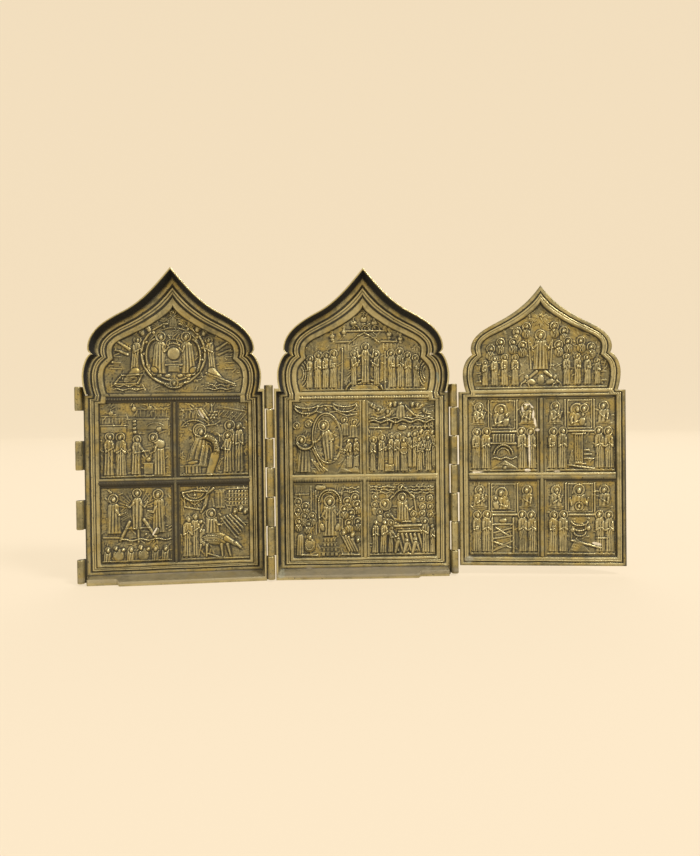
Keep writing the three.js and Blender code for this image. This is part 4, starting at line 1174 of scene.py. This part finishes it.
def mourning_at_a_bier(g):
    """A figure lies on a bier between two crowds, with another standing in a boat of light behind."""
    g.halos([(18.5, 39)], 2.0)
    for i in range(3):
        g.wave(1, 14.6, 36.4 + 1.7 * i, 0.35, 5 + i, 0.3, 0.45)
        g.wave(23, 37.2, 36.2 + 1.7 * i, 0.35, 5.6 - i, 0.3, 0.45)
    g.line([(19, 40), (12.4, 33), (11.6, 25), (14.4, 21.4), (19.5, 19.8), (30, 19.6)], 0.5, 0.65)
    g.line([(20, 40), (26, 33.4), (27, 26)], 0.5, 0.65)
    g.arc(19.2, 32, 5.4, 6, 20, 160, 0.4, 0.5)
    g.robe(19.4, 20.6, 12, 3.6, 3.1, 2.9, -0.2, 4, 1.1, 0.5)
    g.arm(21.2, 28.6, (1.9, -2.2), (4, -0.6))
    g.halos([(19, 33.6)], 2.7, 1, 1.2)
    g.oval(9.5, 29.5, 3.8, 3.6, 0.7)
    g.ring(9.5, 29.5, 3.0, width=0.5, high=0.35, on_top=True)
    g.head(8.8, 29.8, 1.4, 1)
    for x, y in ((3.6, 34.2), (3, 29.8), (6, 25.6), (10.4, 23.6), (30.6, 32.6), (35, 33), (30.8, 28),
                 (35.2, 28.2), (25.6, 24), (30.6, 24.2), (35.4, 23.4)):
        g.halos([(x, y)], 1.9, 1 if x < 19 else -1, 0.95)
        g.bar(x, y - 3.2, x + 0.4, y - 5, 1.5, 1.3, 0.55, False)
    for i in range(5):
        g.bar(10.4 + 1.5 * i, 20.8 - 0.7 * i, 14.6 + 1.5 * i, 16.6 - 0.7 * i, 0.8, 0.6, 0.7, False)
    g.halos([(12.4, 19.2)], 1.9, 1, 1.0)
    g.bar(14.6, 17.2, 31, 17.6, 0.85, high=0.95, on_top=False)
    g.bar(17, 14.0, 30.4, 14.4, 0.75, high=0.9, on_top=False)
    g.line([(17, 15.6), (30.6, 15.9)], 0.28, 0.4)
    for i in range(7):
        x = 14 + 2.4 * i
        g.bar(x, 12.4, x + 2.6, 3, 0.75, 0.5, 0.7, False)
    for x, y in ((16.4, 9.6), (21.4, 8.4), (26.4, 9)):
        g.head(x, y, 1.25, 1)
        g.bar(x, y - 1.6, x - 1.6, 2, 1.3, 0.8, 0.85, False)
    g.person(3.4, 1.4, 20, 1, 0.2, halo=False, arms="fold", wide=0.85)
    g.person(8, 1.4, 20, 1, 0.6, halo=False, arms="pray", wide=0.9)
    g.person(12.2, 1.8, 16, 1, 0.6, halo=False, arms="reach", wide=0.8)
    g.person(32.6, 1.4, 20.6, -1, -0.2, arms="pray", wide=0.95)
    g.person(36.4, 1.2, 17.6, -1, 0, halo=False, arms="fold", wide=0.75)
    g.line([(0.6, 0.9), (37.6, 0.9)], 0.45, 0.4)


def raised_before_churches(g):
    """Cupolas with crosses over an arcade, and a figure with raised arms between ranks of saints."""
    for x, y, r in ((-5.4, 144.4, 1.8), (0.4, 146.6, 2.1), (6.5, 144.4, 1.8), (-10.8, 139.4, 1.5),
                    (-17.6, 137, 1.4), (15, 138, 1.5), (21.4, 135.4, 1.4)):
        g.dome(x, y - 1.8 * r, r)
    for x in (-4.3, 1.4, 7.5):
        g.arc(x, 140.6, 2.1, 2.4, 0, 180, 0.45, 0.6)
    g.line([(-9.4, 140), (12, 140)], 0.5, 0.7)
    g.line([(-8, 133), (-3, 137), (0.6, 138.8), (4.4, 137), (9.6, 133)], 0.45, 0.6)
    g.line([(-15, 133.8), (-7, 134)], 0.5, 0.6)
    g.line([(10.4, 134), (19.4, 133.8)], 0.5, 0.6)
    g.ticks(-14, -8.4, 129, 132.6, 4)
    g.ticks(11.6, 18.4, 129, 132.6, 4)
    g.ticks(-33, -27, 128.6, 131.4, 4)
    g.ticks(29.4, 34.4, 128.6, 131.4, 4)
    g.arc(0.4, 105.4, 10.6, 6.8, 8, 172, 0.7, 0.8)
    g.arc(0.4, 105.4, 8.2, 5.0, 10, 170, 0.4, 0.5)
    g.block(-7, 105.6, 8, 109, 0.35)
    for x, tall, facing in ((-5.4, 20.6, 1), (7.6, 20.4, -1)):
        g.person(x, 108.6, tall, facing, 0, arms="pray", wide=0.72)
    g.person(1.3, 109.8, 23.6, 0, 0, arms="raise", wide=0.95, high=1.15)
    for x, tall, facing in ((-31, 19.4, 1), (-26.2, 21.4, 1), (-21.6, 21.4, 1), (-17.4, 22.6, 1),
                            (16.4, 22.4, -1), (21.4, 23.4, -1), (25.8, 21, -1), (30.4, 19.4, -1)):
        g.person(x, 107.2, tall, facing, 0.2 * facing, arms="fold" if x % 2 > 1 else "book", wide=0.86,
                 folds=4)
    g.line([(-12.4, 107), (-11.8, 130)], 0.4, 0.6)
    g.line([(12.4, 107), (12.6, 128)], 0.35, 0.5)
    for side, start, end in ((-1, -70, 70), (1, 110, 250)):
        for i in range(3):
            g.arc(side * 36.4, 116, 2.2 + 1.3 * i, 4 + 2 * i, start, end, 0.3, 0.4)
    g.line([(-35, 106.3), (35, 106.4)], 0.45, 0.4)


# Scenes of the right leaf: each is a framed icon between two tiers of saints
def framed_icon(g, lean):
    """What the right leaf's four scenes share: the frame, the two upper saints and the two pairs."""
    g.line([(11, 23.4), (11, 41)], 0.45, 0.6)
    g.line([(27, 23.4), (27, 41)], 0.45, 0.6)
    g.line([(11.4, 23.2), (26.6, 23.2)], 0.6, 0.7)
    g.line([(12.4, 24.8), (12.4, 40.6), (25.6, 40.6), (25.6, 24.8), (12.4, 24.8)], 0.3, 0.4)
    g.half_length(5.6, 28.2, 11.6, 1)
    g.half_length(32.4, 28.2, 11.6, -1, "fold" if lean else "pray")
    g.line([(1.2, 27.8), (5, 27.4), (9.6, 27.7)], 0.34, 0.3)
    g.line([(28.2, 27.6), (33, 27.9), (37, 27.4)], 0.34, 0.3)
    for x, facing in ((9.2, 1), (3.8, 1), (30, -1), (35.2, -1)):
        g.person(x, 1.6, 24.4 if abs(x - 19) < 14 else 24, facing, 0.2 * facing,
                 arms="book" if x < 5 else "fold", wide=0.92, folds=4)
    g.script(1.4, 9.8, 39.6, 3 + lean)
    g.script(28.4, 37, 39.6, 9 + lean)
    g.line([(0.6, 1), (37.6, 1)], 0.45, 0.4)


def icon_over_a_table(g):
    """The framed mother and child stand over a draped table and low hills."""
    framed_icon(g, 0)
    g.mother(17.9, 26.2, 12.4, 1)
    g.block(13.2, 17.2, 25.6, 21.8, 0.75)
    g.ticks(14.6, 24.4, 17.8, 21.2, 7, 0.3)
    g.line([(12.4, 16.6), (26.2, 16.4)], 0.6, 0.7)
    g.arc(19.2, 9.6, 5.4, 6, 8, 172, 0.5, 0.6)
    g.arc(19.2, 9.6, 3.6, 4.2, 10, 170, 0.35, 0.4)
    g.wave(13, 26.6, 8, 0.5, 6, 0.4, 0.5)
    g.hill(13.2, 27, 2, 4.4, 0, 2)
    g.oval(20, 2.6, 1.2, high=0.8)


def icon_over_a_column(g):
    """The framed pair, cheek to cheek, stands over a column and steps."""
    framed_icon(g, 1)
    g.mother(17.4, 26.2, 12.4, 1)
    g.halos([(21.6, 36)], 2.6, -1, 1.1)
    g.block(16.2, 5, 20.6, 21.8, 0.8)
    g.ticks(17.2, 19.6, 6, 20.8, 3, 0.3)
    g.line([(15, 21.8), (22, 21.8)], 0.5, 0.6)
    g.line([(15, 4.8), (22, 4.6)], 0.5, 0.6)
    for i, y in enumerate((12.4, 10, 7.6)):
        g.line([(21.6, y), (24 + 1.1 * i, y)], 0.5, 0.55)
    g.hill(12.6, 16.4, 3, 9, 0, 3)
    g.line([(12.4, 4), (27, 1.8)], 0.5, 0.6)


def icon_over_crossed_rods(g):
    """The framed mother and child stand over crossed rods between two posts."""
    framed_icon(g, 2)
    g.mother(18, 26.2, 12.4, -1)
    g.line([(12.6, 2), (12.6, 21)], 0.6, 0.7)
    g.line([(24.6, 2), (24.6, 21)], 0.6, 0.7)
    g.line([(13, 17.6), (24.2, 17.8)], 0.5, 0.6)
    for x0, y0, x1, y1 in ((13.4, 12.8, 23.6, 15.6), (14.6, 15.8, 22.8, 10.4), (13.2, 9.4, 24.0, 11.2),
                           (13.6, 7.6, 23.2, 4.2), (14.2, 3.4, 24.2, 8.2), (13.2, 2.6, 20.4, 5.4)):
        g.bar(x0, y0, x1, y1, 0.46, 0.36, 0.55, False)
    g.oval(18.8, 19.8, 2.2, 1.3, 0.8)


def icon_over_a_slope(g):
    """The framed half figure has a medallion on its breast, and stands over a stony slope."""
    framed_icon(g, 3)
    g.robe(18.3, 25.4, 10, 5.4, 4.6, 3.4, 0, 4, 0.9, 0.6)
    g.arm(14.6, 30, (-0.6, -1.2), (-1.4, 2.6))
    g.arm(22, 30, (0.6, -1.2), (1.4, 2.6))
    g.oval(18.3, 28, 2.6, high=0.75, flat=6)
    g.ring(18.3, 28, 2.2, width=0.45, high=0.3, on_top=True)
    g.head(18.3, 28, 1.1)
    g.halos([(18.3, 37.4)], 3.3, 0, 1.2)
    for i in range(3):
        g.arc(18.6, 19.6 - 3 * i, 4.6 - 0.6 * i, 2.6, 190, 350, 0.45, 0.55)
    g.line([(14, 8.6), (30, 4.4)], 0.6, 0.7)
    g.hill(12.6, 24, 2, 7.6, -1.6, 4)
    g.line([(27.8, 10), (33.6, 10)], 0.5, 0.6)
    g.oval(14.6, 14.4, 1.3, high=0.8)
    g.oval(23.4, 15.4, 1.3, high=0.8)


def saints_under_a_seraph(g):
    """Tiers of saints on either side of a figure enthroned, with a seraph under the apex."""
    g.oval(0, 146, 2.4, high=0.8)
    g.head(0, 146.4, 1.4)
    for turn in (205, 165, -25, 15, 250, 290):
        g.wing(0, 146, 6.4 if abs(turn - 270) > 40 else 5.4, turn, 4)
    g.robe(0, 116.6, 17.4, 4.4, 3.6, 3.3, 0, 4, 1.15, 0.5)
    g.arm(-2.6, 130.4, (-1.8, -2), (-3.2, 1.4))
    g.arm(2.6, 130.4, (1.8, -2), (3.2, 1.4))
    g.halos([(0, 136)], 3.2, 0, 1.25)
    for side in (-1, 1):
        g.line([(side * 6, 136), (side * 9.4, 136.2)], 0.45, 0.55)
        g.line([(side * 5.4, 117), (side * 6.6, 133)], 0.4, 0.5)
        for x, y in ((7.8, 141), (13, 138.2), (22.4, 132.3), (15.2, 132.2), (10, 130.4), (28, 128.8)):
            g.halos([(side * x, y)], 2.5, -side, 1.1)
            g.bust(side * (x + 0.2), y - 4.0, 2.5, 2.8)
        for x, tall in ((14.4, 18), (20.4, 18.2), (26, 17.2), (31.4, 15)):
            g.person(side * x, 107.6, tall, -side, 0, arms="fold" if x < 20 else "book", wide=1.0, folds=4)
        g.arc(side * 9, 107, 2.4, 2.6, 5, 175, 0.4, 0.5)
        g.bar(side * 2.4, 115.4, side * 9.6, 109.4, 0.9, 0.6, 0.75, False)
        g.oval(side * 5.4, 109.8, 2.7, 1.6, 0.8, 20 * side)
        g.head(side * 7.8, 112, 1.1, -side)
        for y in (124, 120, 115, 110):
            g.line([(side * 33.6, y), (side * 36, y)], 0.35, 0.45)
    g.oval(0, 110.6, 2.0, 3, 0.8)
    g.line([(-36, 106.3), (36, 106.4)], 0.45, 0.4)


SCENE_WIDE = FIELD_OUTER - FIELD_INNER
SCENE_TALL = FIELD_ROWS[0][1] - FIELD_ROWS[0][0]
GABLE_BOTTOM = 105.2


def scene_ground():
    across = np.arange(-0.25, SCENE_WIDE + 0.5, FIELD_STEP)
    up = np.arange(-0.25, SCENE_TALL + 0.5, FIELD_STEP)
    return Ground(*np.meshgrid(across, up))


def gable_ground(offset):
    """A ground that fills the gable's ogee, with as many points across near its apex as below."""
    half = gable_half(offset)
    up = np.arange(GABLE_BOTTOM, half[0, 1] - 0.8, FIELD_STEP)
    reach = np.interp(up, half[::-1, 1], half[::-1, 0])
    share = np.linspace(-1, 1, 250)
    return Ground(reach[:, None] * share, up[:, None] + 0 * share)


SCENES = (
    (left_leaf, -6.1, throne_in_a_medallion, (bowing_at_an_altar, bowing_over_a_crib,
                                              rising_over_crossed_beams, riding_to_a_city)),
    (middle_leaf, -6.1, raised_before_churches, (standing_in_an_almond, ascending_above_a_crowd,
                                                 enthroned_before_saints, mourning_at_a_bier)),
    (right_leaf, -5.5, saints_under_a_seraph, (icon_over_a_table, icon_over_a_column,
                                               icon_over_crossed_rods, icon_over_a_slope)),
)
for number, (leaf, offset, gable_scene, scenes) in enumerate(SCENES):
    ground = gable_ground(offset)
    ground.tooling(70 + number, 107, 150, -36, 36, 150)
    gable_scene(ground)
    relief_piece(leaf.name + "_gable_relief", leaf, ground, 0, 0, 10 * number)
    corners = [(u, v) for v in (FIELD_ROWS[1][0], FIELD_ROWS[0][0]) for u in (-FIELD_OUTER, FIELD_INNER)]
    for which, (scene, (u, v)) in enumerate(zip(scenes, corners)):
        ground = scene_ground()
        ground.tooling(40 + 4 * number + which, 1, 41, 0.5, 37.5, (110, 130, 50)[number])
        scene(ground)
        relief_piece(f"{leaf.name}_relief_{which + 1}", leaf, ground, u, v, 10 * number + which + 1)

# --- Bars between the scenes, hinge knuckles and pins -------------------------------------------
# The bars are cast with the leaves: half-round ridges between thin fillets, the level ones beaded.
# Each leaf's tubular knuckles stand on short webs, and were drilled after casting for brass pins.
# A bar's section: (share of the way across, level, how sunk, how worn, beaded)
UPRIGHT_BAR = (
    (0, 2.1, 1, 0, 0), (0.02, 2.7, 0.9, 0, 0), (0.1, 3.05, 0.1, 0.6, 0), (0.17, 2.95, 0.5, 0.2, 0),
    (0.23, 2.8, 1, 0, 0), (0.3, 3.3, 0.6, 0.1, 0), (0.38, 3.85, 0.25, 0.25, 0), (0.5, 4.12, 0.15, 0.3, 0),
    (0.62, 3.85, 0.25, 0.25, 0), (0.7, 3.3, 0.6, 0.1, 0), (0.77, 2.8, 1, 0, 0), (0.83, 2.95, 0.5, 0.2, 0),
    (0.9, 3.05, 0.1, 0.6, 0), (0.98, 2.7, 0.9, 0, 0), (1, 2.1, 1, 0, 0),
)
LEVEL_BAR = (
    (0, 2.1, 1, 0, 0), (0.02, 2.6, 1, 0, 0), (0.08, 3.0, 0.4, 0.3, 0), (0.15, 2.8, 1, 0, 0),
    (0.2, 2.9, 1, 0, 0), (0.27, 3.45, 0.7, 0, 1), (0.36, 3.85, 0.45, 0.1, 1), (0.46, 4.02, 0.3, 0.2, 1),
    (0.56, 4.0, 0.3, 0.3, 0), (0.63, 3.85, 0.4, 0.2, 0), (0.68, 3.72, 0.7, 0, 0), (0.74, 3.95, 0.1, 0.8, 0),
    (0.82, 4.14, 0, 1, 0), (0.9, 4.0, 0, 0.9, 0), (0.95, 3.5, 0.4, 0.3, 0), (0.98, 2.8, 0.9, 0, 0),
    (1, 2.1, 1, 0, 0),
)
TOP_BAR = (
    (0, 2.1, 1, 0, 0), (0.02, 2.6, 1, 0, 0), (0.09, 3.2, 0.2, 0.5, 0), (0.15, 2.9, 1, 0, 0),
    (0.22, 3.2, 0.8, 0, 0), (0.3, 3.7, 0.2, 0.5, 1), (0.38, 3.92, 0.05, 0.9, 1), (0.46, 3.75, 0.2, 0.5, 1),
    (0.52, 3.4, 0.9, 0, 1), (0.58, 3.6, 0.5, 0.2, 0), (0.66, 3.95, 0.1, 0.7, 0), (0.78, 4.1, 0, 1, 0),
    (0.88, 4.0, 0.1, 0.7, 0), (0.94, 3.6, 0.5, 0.2, 0), (0.98, 2.9, 1, 0, 0), (1, 2.1, 1, 0, 0),
)
# Each leaf's bars: (how much darker they are painted, how deep the beads are cut). The middle leaf's
# bars are painted lighter, a painted highlight of the light that gleams on them.
BAR_FINISH = {"left": (0.3, 0.2), "middle": (-0.22, 0.2), "right": (0.02, 0.03)}
BEAD_SPACING = 1.5


def bar_piece(name, leaf, start, stop, edges, section, upright=False, round_ends=0.0):
    """A bar of even section laid over a leaf between start and stop, edges being its two sides."""
    darker_tone, beading = BAR_FINISH[leaf.name]
    run = np.arange(start, stop + 0.01, (stop - start) / max(8, round((stop - start) / 0.32)))
    shares, levels, sunk, worn, beaded = np.array(section).T
    along = np.repeat(run[:, None], len(section), 1)
    across = edges[0] + (edges[1] - edges[0]) * shares + waves(along, along * 0.3, 12, 0.05)
    bead = 0.5 + 0.5 * np.cos(2 * math.pi * along / BEAD_SPACING)
    fall = np.clip(1 - np.minimum(along - start, stop - along) / (round_ends + 0.01), 0, 1) ** 3
    level = levels - beading * bead * beaded + waves(along, across, 6, 0.05)
    level = np.where(levels > 2.2, level - fall * (level - 3.2) * (round_ends > 0), levels)
    places = np.stack([across, along, level] if upright else [along, across, level], -1)
    count = len(section)
    at = np.arange(run.size * count).reshape(run.size, count)
    quads = np.stack([at[:-1, :-1], at[:-1, 1:], at[1:, 1:], at[1:, :-1]], -1).reshape(-1, 4)
    floor = np.column_stack([at[:-1, -1], at[:-1, 0], at[1:, 0], at[1:, -1]])
    faces = quads.tolist() + floor.tolist() + [at[0, ::-1].tolist(), at[-1].tolist()]
    if not upright:
        faces = [face[::-1] for face in faces]
    # Bars painted darker or lighter as a whole; the middle leaf's lighter bars are a painted highlight.
    aged = np.column_stack([(sunk + 2 * beading * bead * beaded + darker_tone).ravel(),
                            (worn * (1 - 3 * beading * bead * beaded) - darker_tone).ravel(),
                            0 * level.ravel()])
    cast_piece(name, leaf, places.reshape(-1, 3), faces, aged, leaf_finish)


for leaf, reach in ((left_leaf, 42.5), (middle_leaf, 42.5), (right_leaf, 41.2)):
    bar_piece(leaf.name + "_upright_bar", leaf, 10.2, 100.4, (-2.6, 2.6), UPRIGHT_BAR, True)
    bar_piece(leaf.name + "_level_bar", leaf, -reach, reach, (52.4, 58.4), LEVEL_BAR, False, 1.4)
    bar_piece(leaf.name + "_top_bar", leaf, -39.6, 39.6, (99.8, 105.8), TOP_BAR, False, 0.8)

KNUCKLE_RADIUS = 2.1
BORE_RADIUS = 1.15
KNUCKLE_COUNT = 7
KNUCKLE_GAP = 0.3
HINGE_BOTTOM = 0.6
HINGE_TOP = 109.2
END_KNUCKLE = 13.4
# A knuckle's outline: (radius, distance in from its end), from the bore out and over the shoulder
KNUCKLE_END = ((BORE_RADIUS, 0.1), (BORE_RADIUS + 0.12, 0), (1.75, 0), (1.98, 0.1), (2.08, 0.35))


def knuckle_spans():
    """The low and high end of every knuckle, from the top down."""
    middle = (HINGE_TOP - HINGE_BOTTOM - 2 * END_KNUCKLE) / (KNUCKLE_COUNT - 2)
    high = HINGE_TOP
    for i in range(KNUCKLE_COUNT):
        low = high - (END_KNUCKLE if i in (0, KNUCKLE_COUNT - 1) else middle)
        yield low + KNUCKLE_GAP / 2, high - KNUCKLE_GAP / 2
        high = low


def knuckle(leaf, name, u, w, low, high, seed):
    """A drilled tube, a little dented, standing upright at (u, w)."""
    sides = 40
    ends = [(r, d, 0.5 if r < 1.9 else 0.1, 0.1 if r < 1.7 else 0.7) for r, d in KNUCKLE_END]
    outline = [(r, low + d, *aged) for r, d, *aged in ends]
    outline += [(KNUCKLE_RADIUS, v, 0.22, 0.32) for v in mix(low, high, np.linspace(0.06, 0.94, 9))]
    outline += [(r, high - d, *aged) for r, d, *aged in ends[::-1]]
    angles = np.linspace(0, 2 * math.pi, sides, endpoint=False)
    places, aged = [], []
    for r, v, sunk, worn in outline:
        dent = waves(angles * 2, angles * 0 + v, seed, 0.03, (3, 7)) * (r > 1.9) - 0.07 * (r > 1.9)
        places.append(round_row(u, w, r + dent, v, angles))
        aged.append(np.tile((sunk, worn, 0), (sides, 1)))
    at = np.arange(len(outline) * sides).reshape(len(outline), sides)
    nxt = np.roll(at, -1, 1)
    rows = np.roll(at, -1, 0), np.roll(nxt, -1, 0)
    faces = np.stack([at, rows[0], rows[1], nxt], -1).reshape(-1, 4).tolist()
    cast_piece(name, leaf, np.vstack(places), faces, np.vstack(aged), leaf_finish)


def round_row(u, w, radius, v, angles):
    """A level row of points round an upright axis at (u, w)."""
    return np.stack([u + radius * np.cos(angles), 0 * angles + v, w + radius * np.sin(angles)], -1)


def rod_faces(rows, sides):
    """The faces of a solid rod made of rows of points, closed at both ends."""
    at = np.arange(rows * sides).reshape(rows, sides)
    nxt = np.roll(at, -1, 1)
    faces = np.stack([at[:-1], at[1:], nxt[1:], nxt[:-1]], -1).reshape(-1, 4).tolist()
    return faces + [at[0].tolist(), at[-1, ::-1].tolist()]


def web(leaf, name, u0, u1, w0, w1, low, high):
    """The short tongue of metal that joins a knuckle to its leaf, with eased edges."""
    ease = 0.18
    ring = [(u0, w0 + ease), (u0 + ease, w0), (u1 - ease, w0), (u1, w0 + ease), (u1, w1 - ease),
            (u1 - ease, w1), (u0 + ease, w1), (u0, w1 - ease)]
    levels = ((low + 0.02, 0.9), (low + 0.2, 1), (high - 0.2, 1), (high - 0.02, 0.9))
    mid_u, mid_w = (u0 + u1) / 2, (w0 + w1) / 2
    places = [(mid_u + (u - mid_u) * k, v, mid_w + (w - mid_w) * k) for v, k in levels for u, w in ring]
    aged = np.tile((0.7, 0.15, 0), (len(places), 1))
    cast_piece(name, leaf, np.array(places), rod_faces(len(levels), len(ring)), aged, leaf_finish)


# (leaf, knuckles' side, axis, level, web from and to, web's levels, which knuckles)
WALL_AXIS, WALL_LEVEL = WALL_HINGE["reach"], WALL_HINGE["level"]
FACE_AXIS, FACE_LEVEL = FACE_HINGE["reach"], FACE_HINGE["level"]
PLATE_AXIS = FACE_HINGE["plate_reach"]
HINGED = (
    (left_leaf, "inner", WALL_AXIS, WALL_LEVEL, 50.0, 52.0, 11.3, 13.0, 0),
    (middle_leaf, "left", -WALL_AXIS, WALL_LEVEL, -52.0, -50.0, 11.3, 13.0, 1),
    (middle_leaf, "right", FACE_AXIS, FACE_LEVEL, 48.2, 50.6, 1.9, 3.9, 0),
    (right_leaf, "inner", -PLATE_AXIS, FACE_LEVEL, -48.9, -46.0, 1.9, 3.9, 1),
    (left_leaf, "outer", -FACE_AXIS, FACE_LEVEL, -50.6, -48.2, 1.9, 3.9, 0),
)
for leaf, side, axis, level, web_from, web_to, web_low, web_high, first in HINGED:
    for i, (low, high) in enumerate(knuckle_spans()):
        if i % 2 == first:
            name = f"{leaf.name}_{side}_knuckle_{i + 1}"
            knuckle(leaf, name, axis, level, low, high, 30 + i)
            web(leaf, name + "_web", web_from, web_to, web_low, web_high, low, high)


def pin_piece(name, leaf, axis, level):
    """A turned wire pin with slightly rounded ends, loose in its knuckles."""
    sides = 24
    low, high = HINGE_BOTTOM + 0.4, HINGE_TOP - 0.4
    outline = ((0.5, low), (0.72, low + 0.06), (0.79, low + 0.25), (0.79, (low + high) / 2),
               (0.79, high - 0.25), (0.72, high - 0.06), (0.5, high))
    angles = np.linspace(0, 2 * math.pi, sides, endpoint=False)
    places = np.vstack([round_row(axis, level, r, v, angles) for r, v in outline])
    ageing = {"sunk": np.full(len(places), 0.35), "worn": np.full(len(places), 0.35)}
    made_piece(name, leaf, places, rod_faces(len(outline), sides), ageing, pin_finish, name)


pin_finish = aged_brass("pin_brass", (0.40, 0.30, 0.13), (0.20, 0.155, 0.07))
pin_piece("left_hinge_pin", left_leaf, WALL_AXIS, WALL_LEVEL)
pin_piece("right_hinge_pin", right_leaf, -PLATE_AXIS, FACE_LEVEL)

# --- Floor, backdrop and lights -----------------------------------------------------------------
# A pale warm floor that rises, a long way off, into a bowl of the same colour, lit by soft boxes.
BOWL = 5.0                        # radius in metres
BOWL_HEIGHT = 6.0
FLOOR_DROP = 0.0002               # keeps the floor just clear of the leaves' undersides


def cyclorama():
    profile = [(BOWL * t, 0.0) for t in np.linspace(0.02, 0.8, 14)]
    profile += [(BOWL * (0.8 + 0.2 * math.sin(a)), BOWL * 0.2 * (1 - math.cos(a)))
                for a in np.radians(np.linspace(8, 90, 10))]
    profile += [(BOWL, z) for z in np.linspace(1.2, BOWL_HEIGHT, 6)]
    turns = 96
    points = [(r * math.cos(2 * math.pi * k / turns), r * math.sin(2 * math.pi * k / turns), z - FLOOR_DROP)
              for r, z in profile for k in range(turns)]
    faces = [((i + 1) * turns + k, (i + 1) * turns + (k + 1) % turns, i * turns + (k + 1) % turns,
              i * turns + k) for i in range(len(profile) - 1) for k in range(turns)]
    faces.append(tuple(range(turns)))
    mesh = bpy.data.meshes.new("cyclorama")
    mesh.from_pydata(points, [], faces)
    mesh.polygons.foreach_set("use_smooth", np.ones(len(mesh.polygons), bool))
    return bpy.data.objects.new("cyclorama", mesh)


backdrop = cyclorama()
bpy.context.scene.collection.objects.link(backdrop)
paper = bpy.data.materials.new("warm_paper")
paper.use_nodes = True
paper_surface = paper.node_tree.nodes["Principled BSDF"]
paper_surface.inputs["Roughness"].default_value = 0.95
paper_surface.inputs["Base Color"].default_value = (0.135, 0.112, 0.088, 1)
paper_surface.inputs["Emission Color"].default_value = (0.995, 0.835, 0.594, 1)
paper_surface.inputs["Emission Strength"].default_value = 0.75
backdrop.data.materials.append(paper)


def soft_box(name, place, aim, size, power, colour):
    lamp = bpy.data.lights.new(name, "AREA")
    lamp.shape = "RECTANGLE"
    lamp.size, lamp.size_y = size
    lamp.energy = power
    lamp.color = colour
    box = bpy.data.objects.new(name, lamp)
    box.location = place
    box.rotation_euler = (Vector(aim) - Vector(place)).to_track_quat("-Z", "Y").to_euler()
    bpy.context.scene.collection.objects.link(box)
    return box


AIM = (0, 0, 0.09)
soft_box("key", (1.9, -1.8, 2.6), AIM, (0.8, 0.8), 98, (1, 0.985, 0.96))
soft_box("fill", (-2.4, -2.4, 0.9), AIM, (1.8, 1.8), 20, (1, 0.985, 0.97))
soft_box("overhead", (0, -0.3, 4.2), AIM, (3.0, 3.0), 40, (1, 0.99, 0.98))
soft_box("rim", (0.6, 3.0, 2.4), AIM, (2.4, 1.5), 30, (1, 0.99, 0.98))

world = bpy.data.worlds.new("room")
world.use_nodes = True
world.node_tree.nodes["Background"].inputs["Color"].default_value = (1.0, 0.96, 0.90, 1)
world.node_tree.nodes["Background"].inputs["Strength"].default_value = 0.5
bpy.context.scene.world = world
bpy.context.scene.view_settings.view_transform = "Standard"

# --- Last update of the scene -------------------------------------------------------------------
bpy.context.view_layer.update()
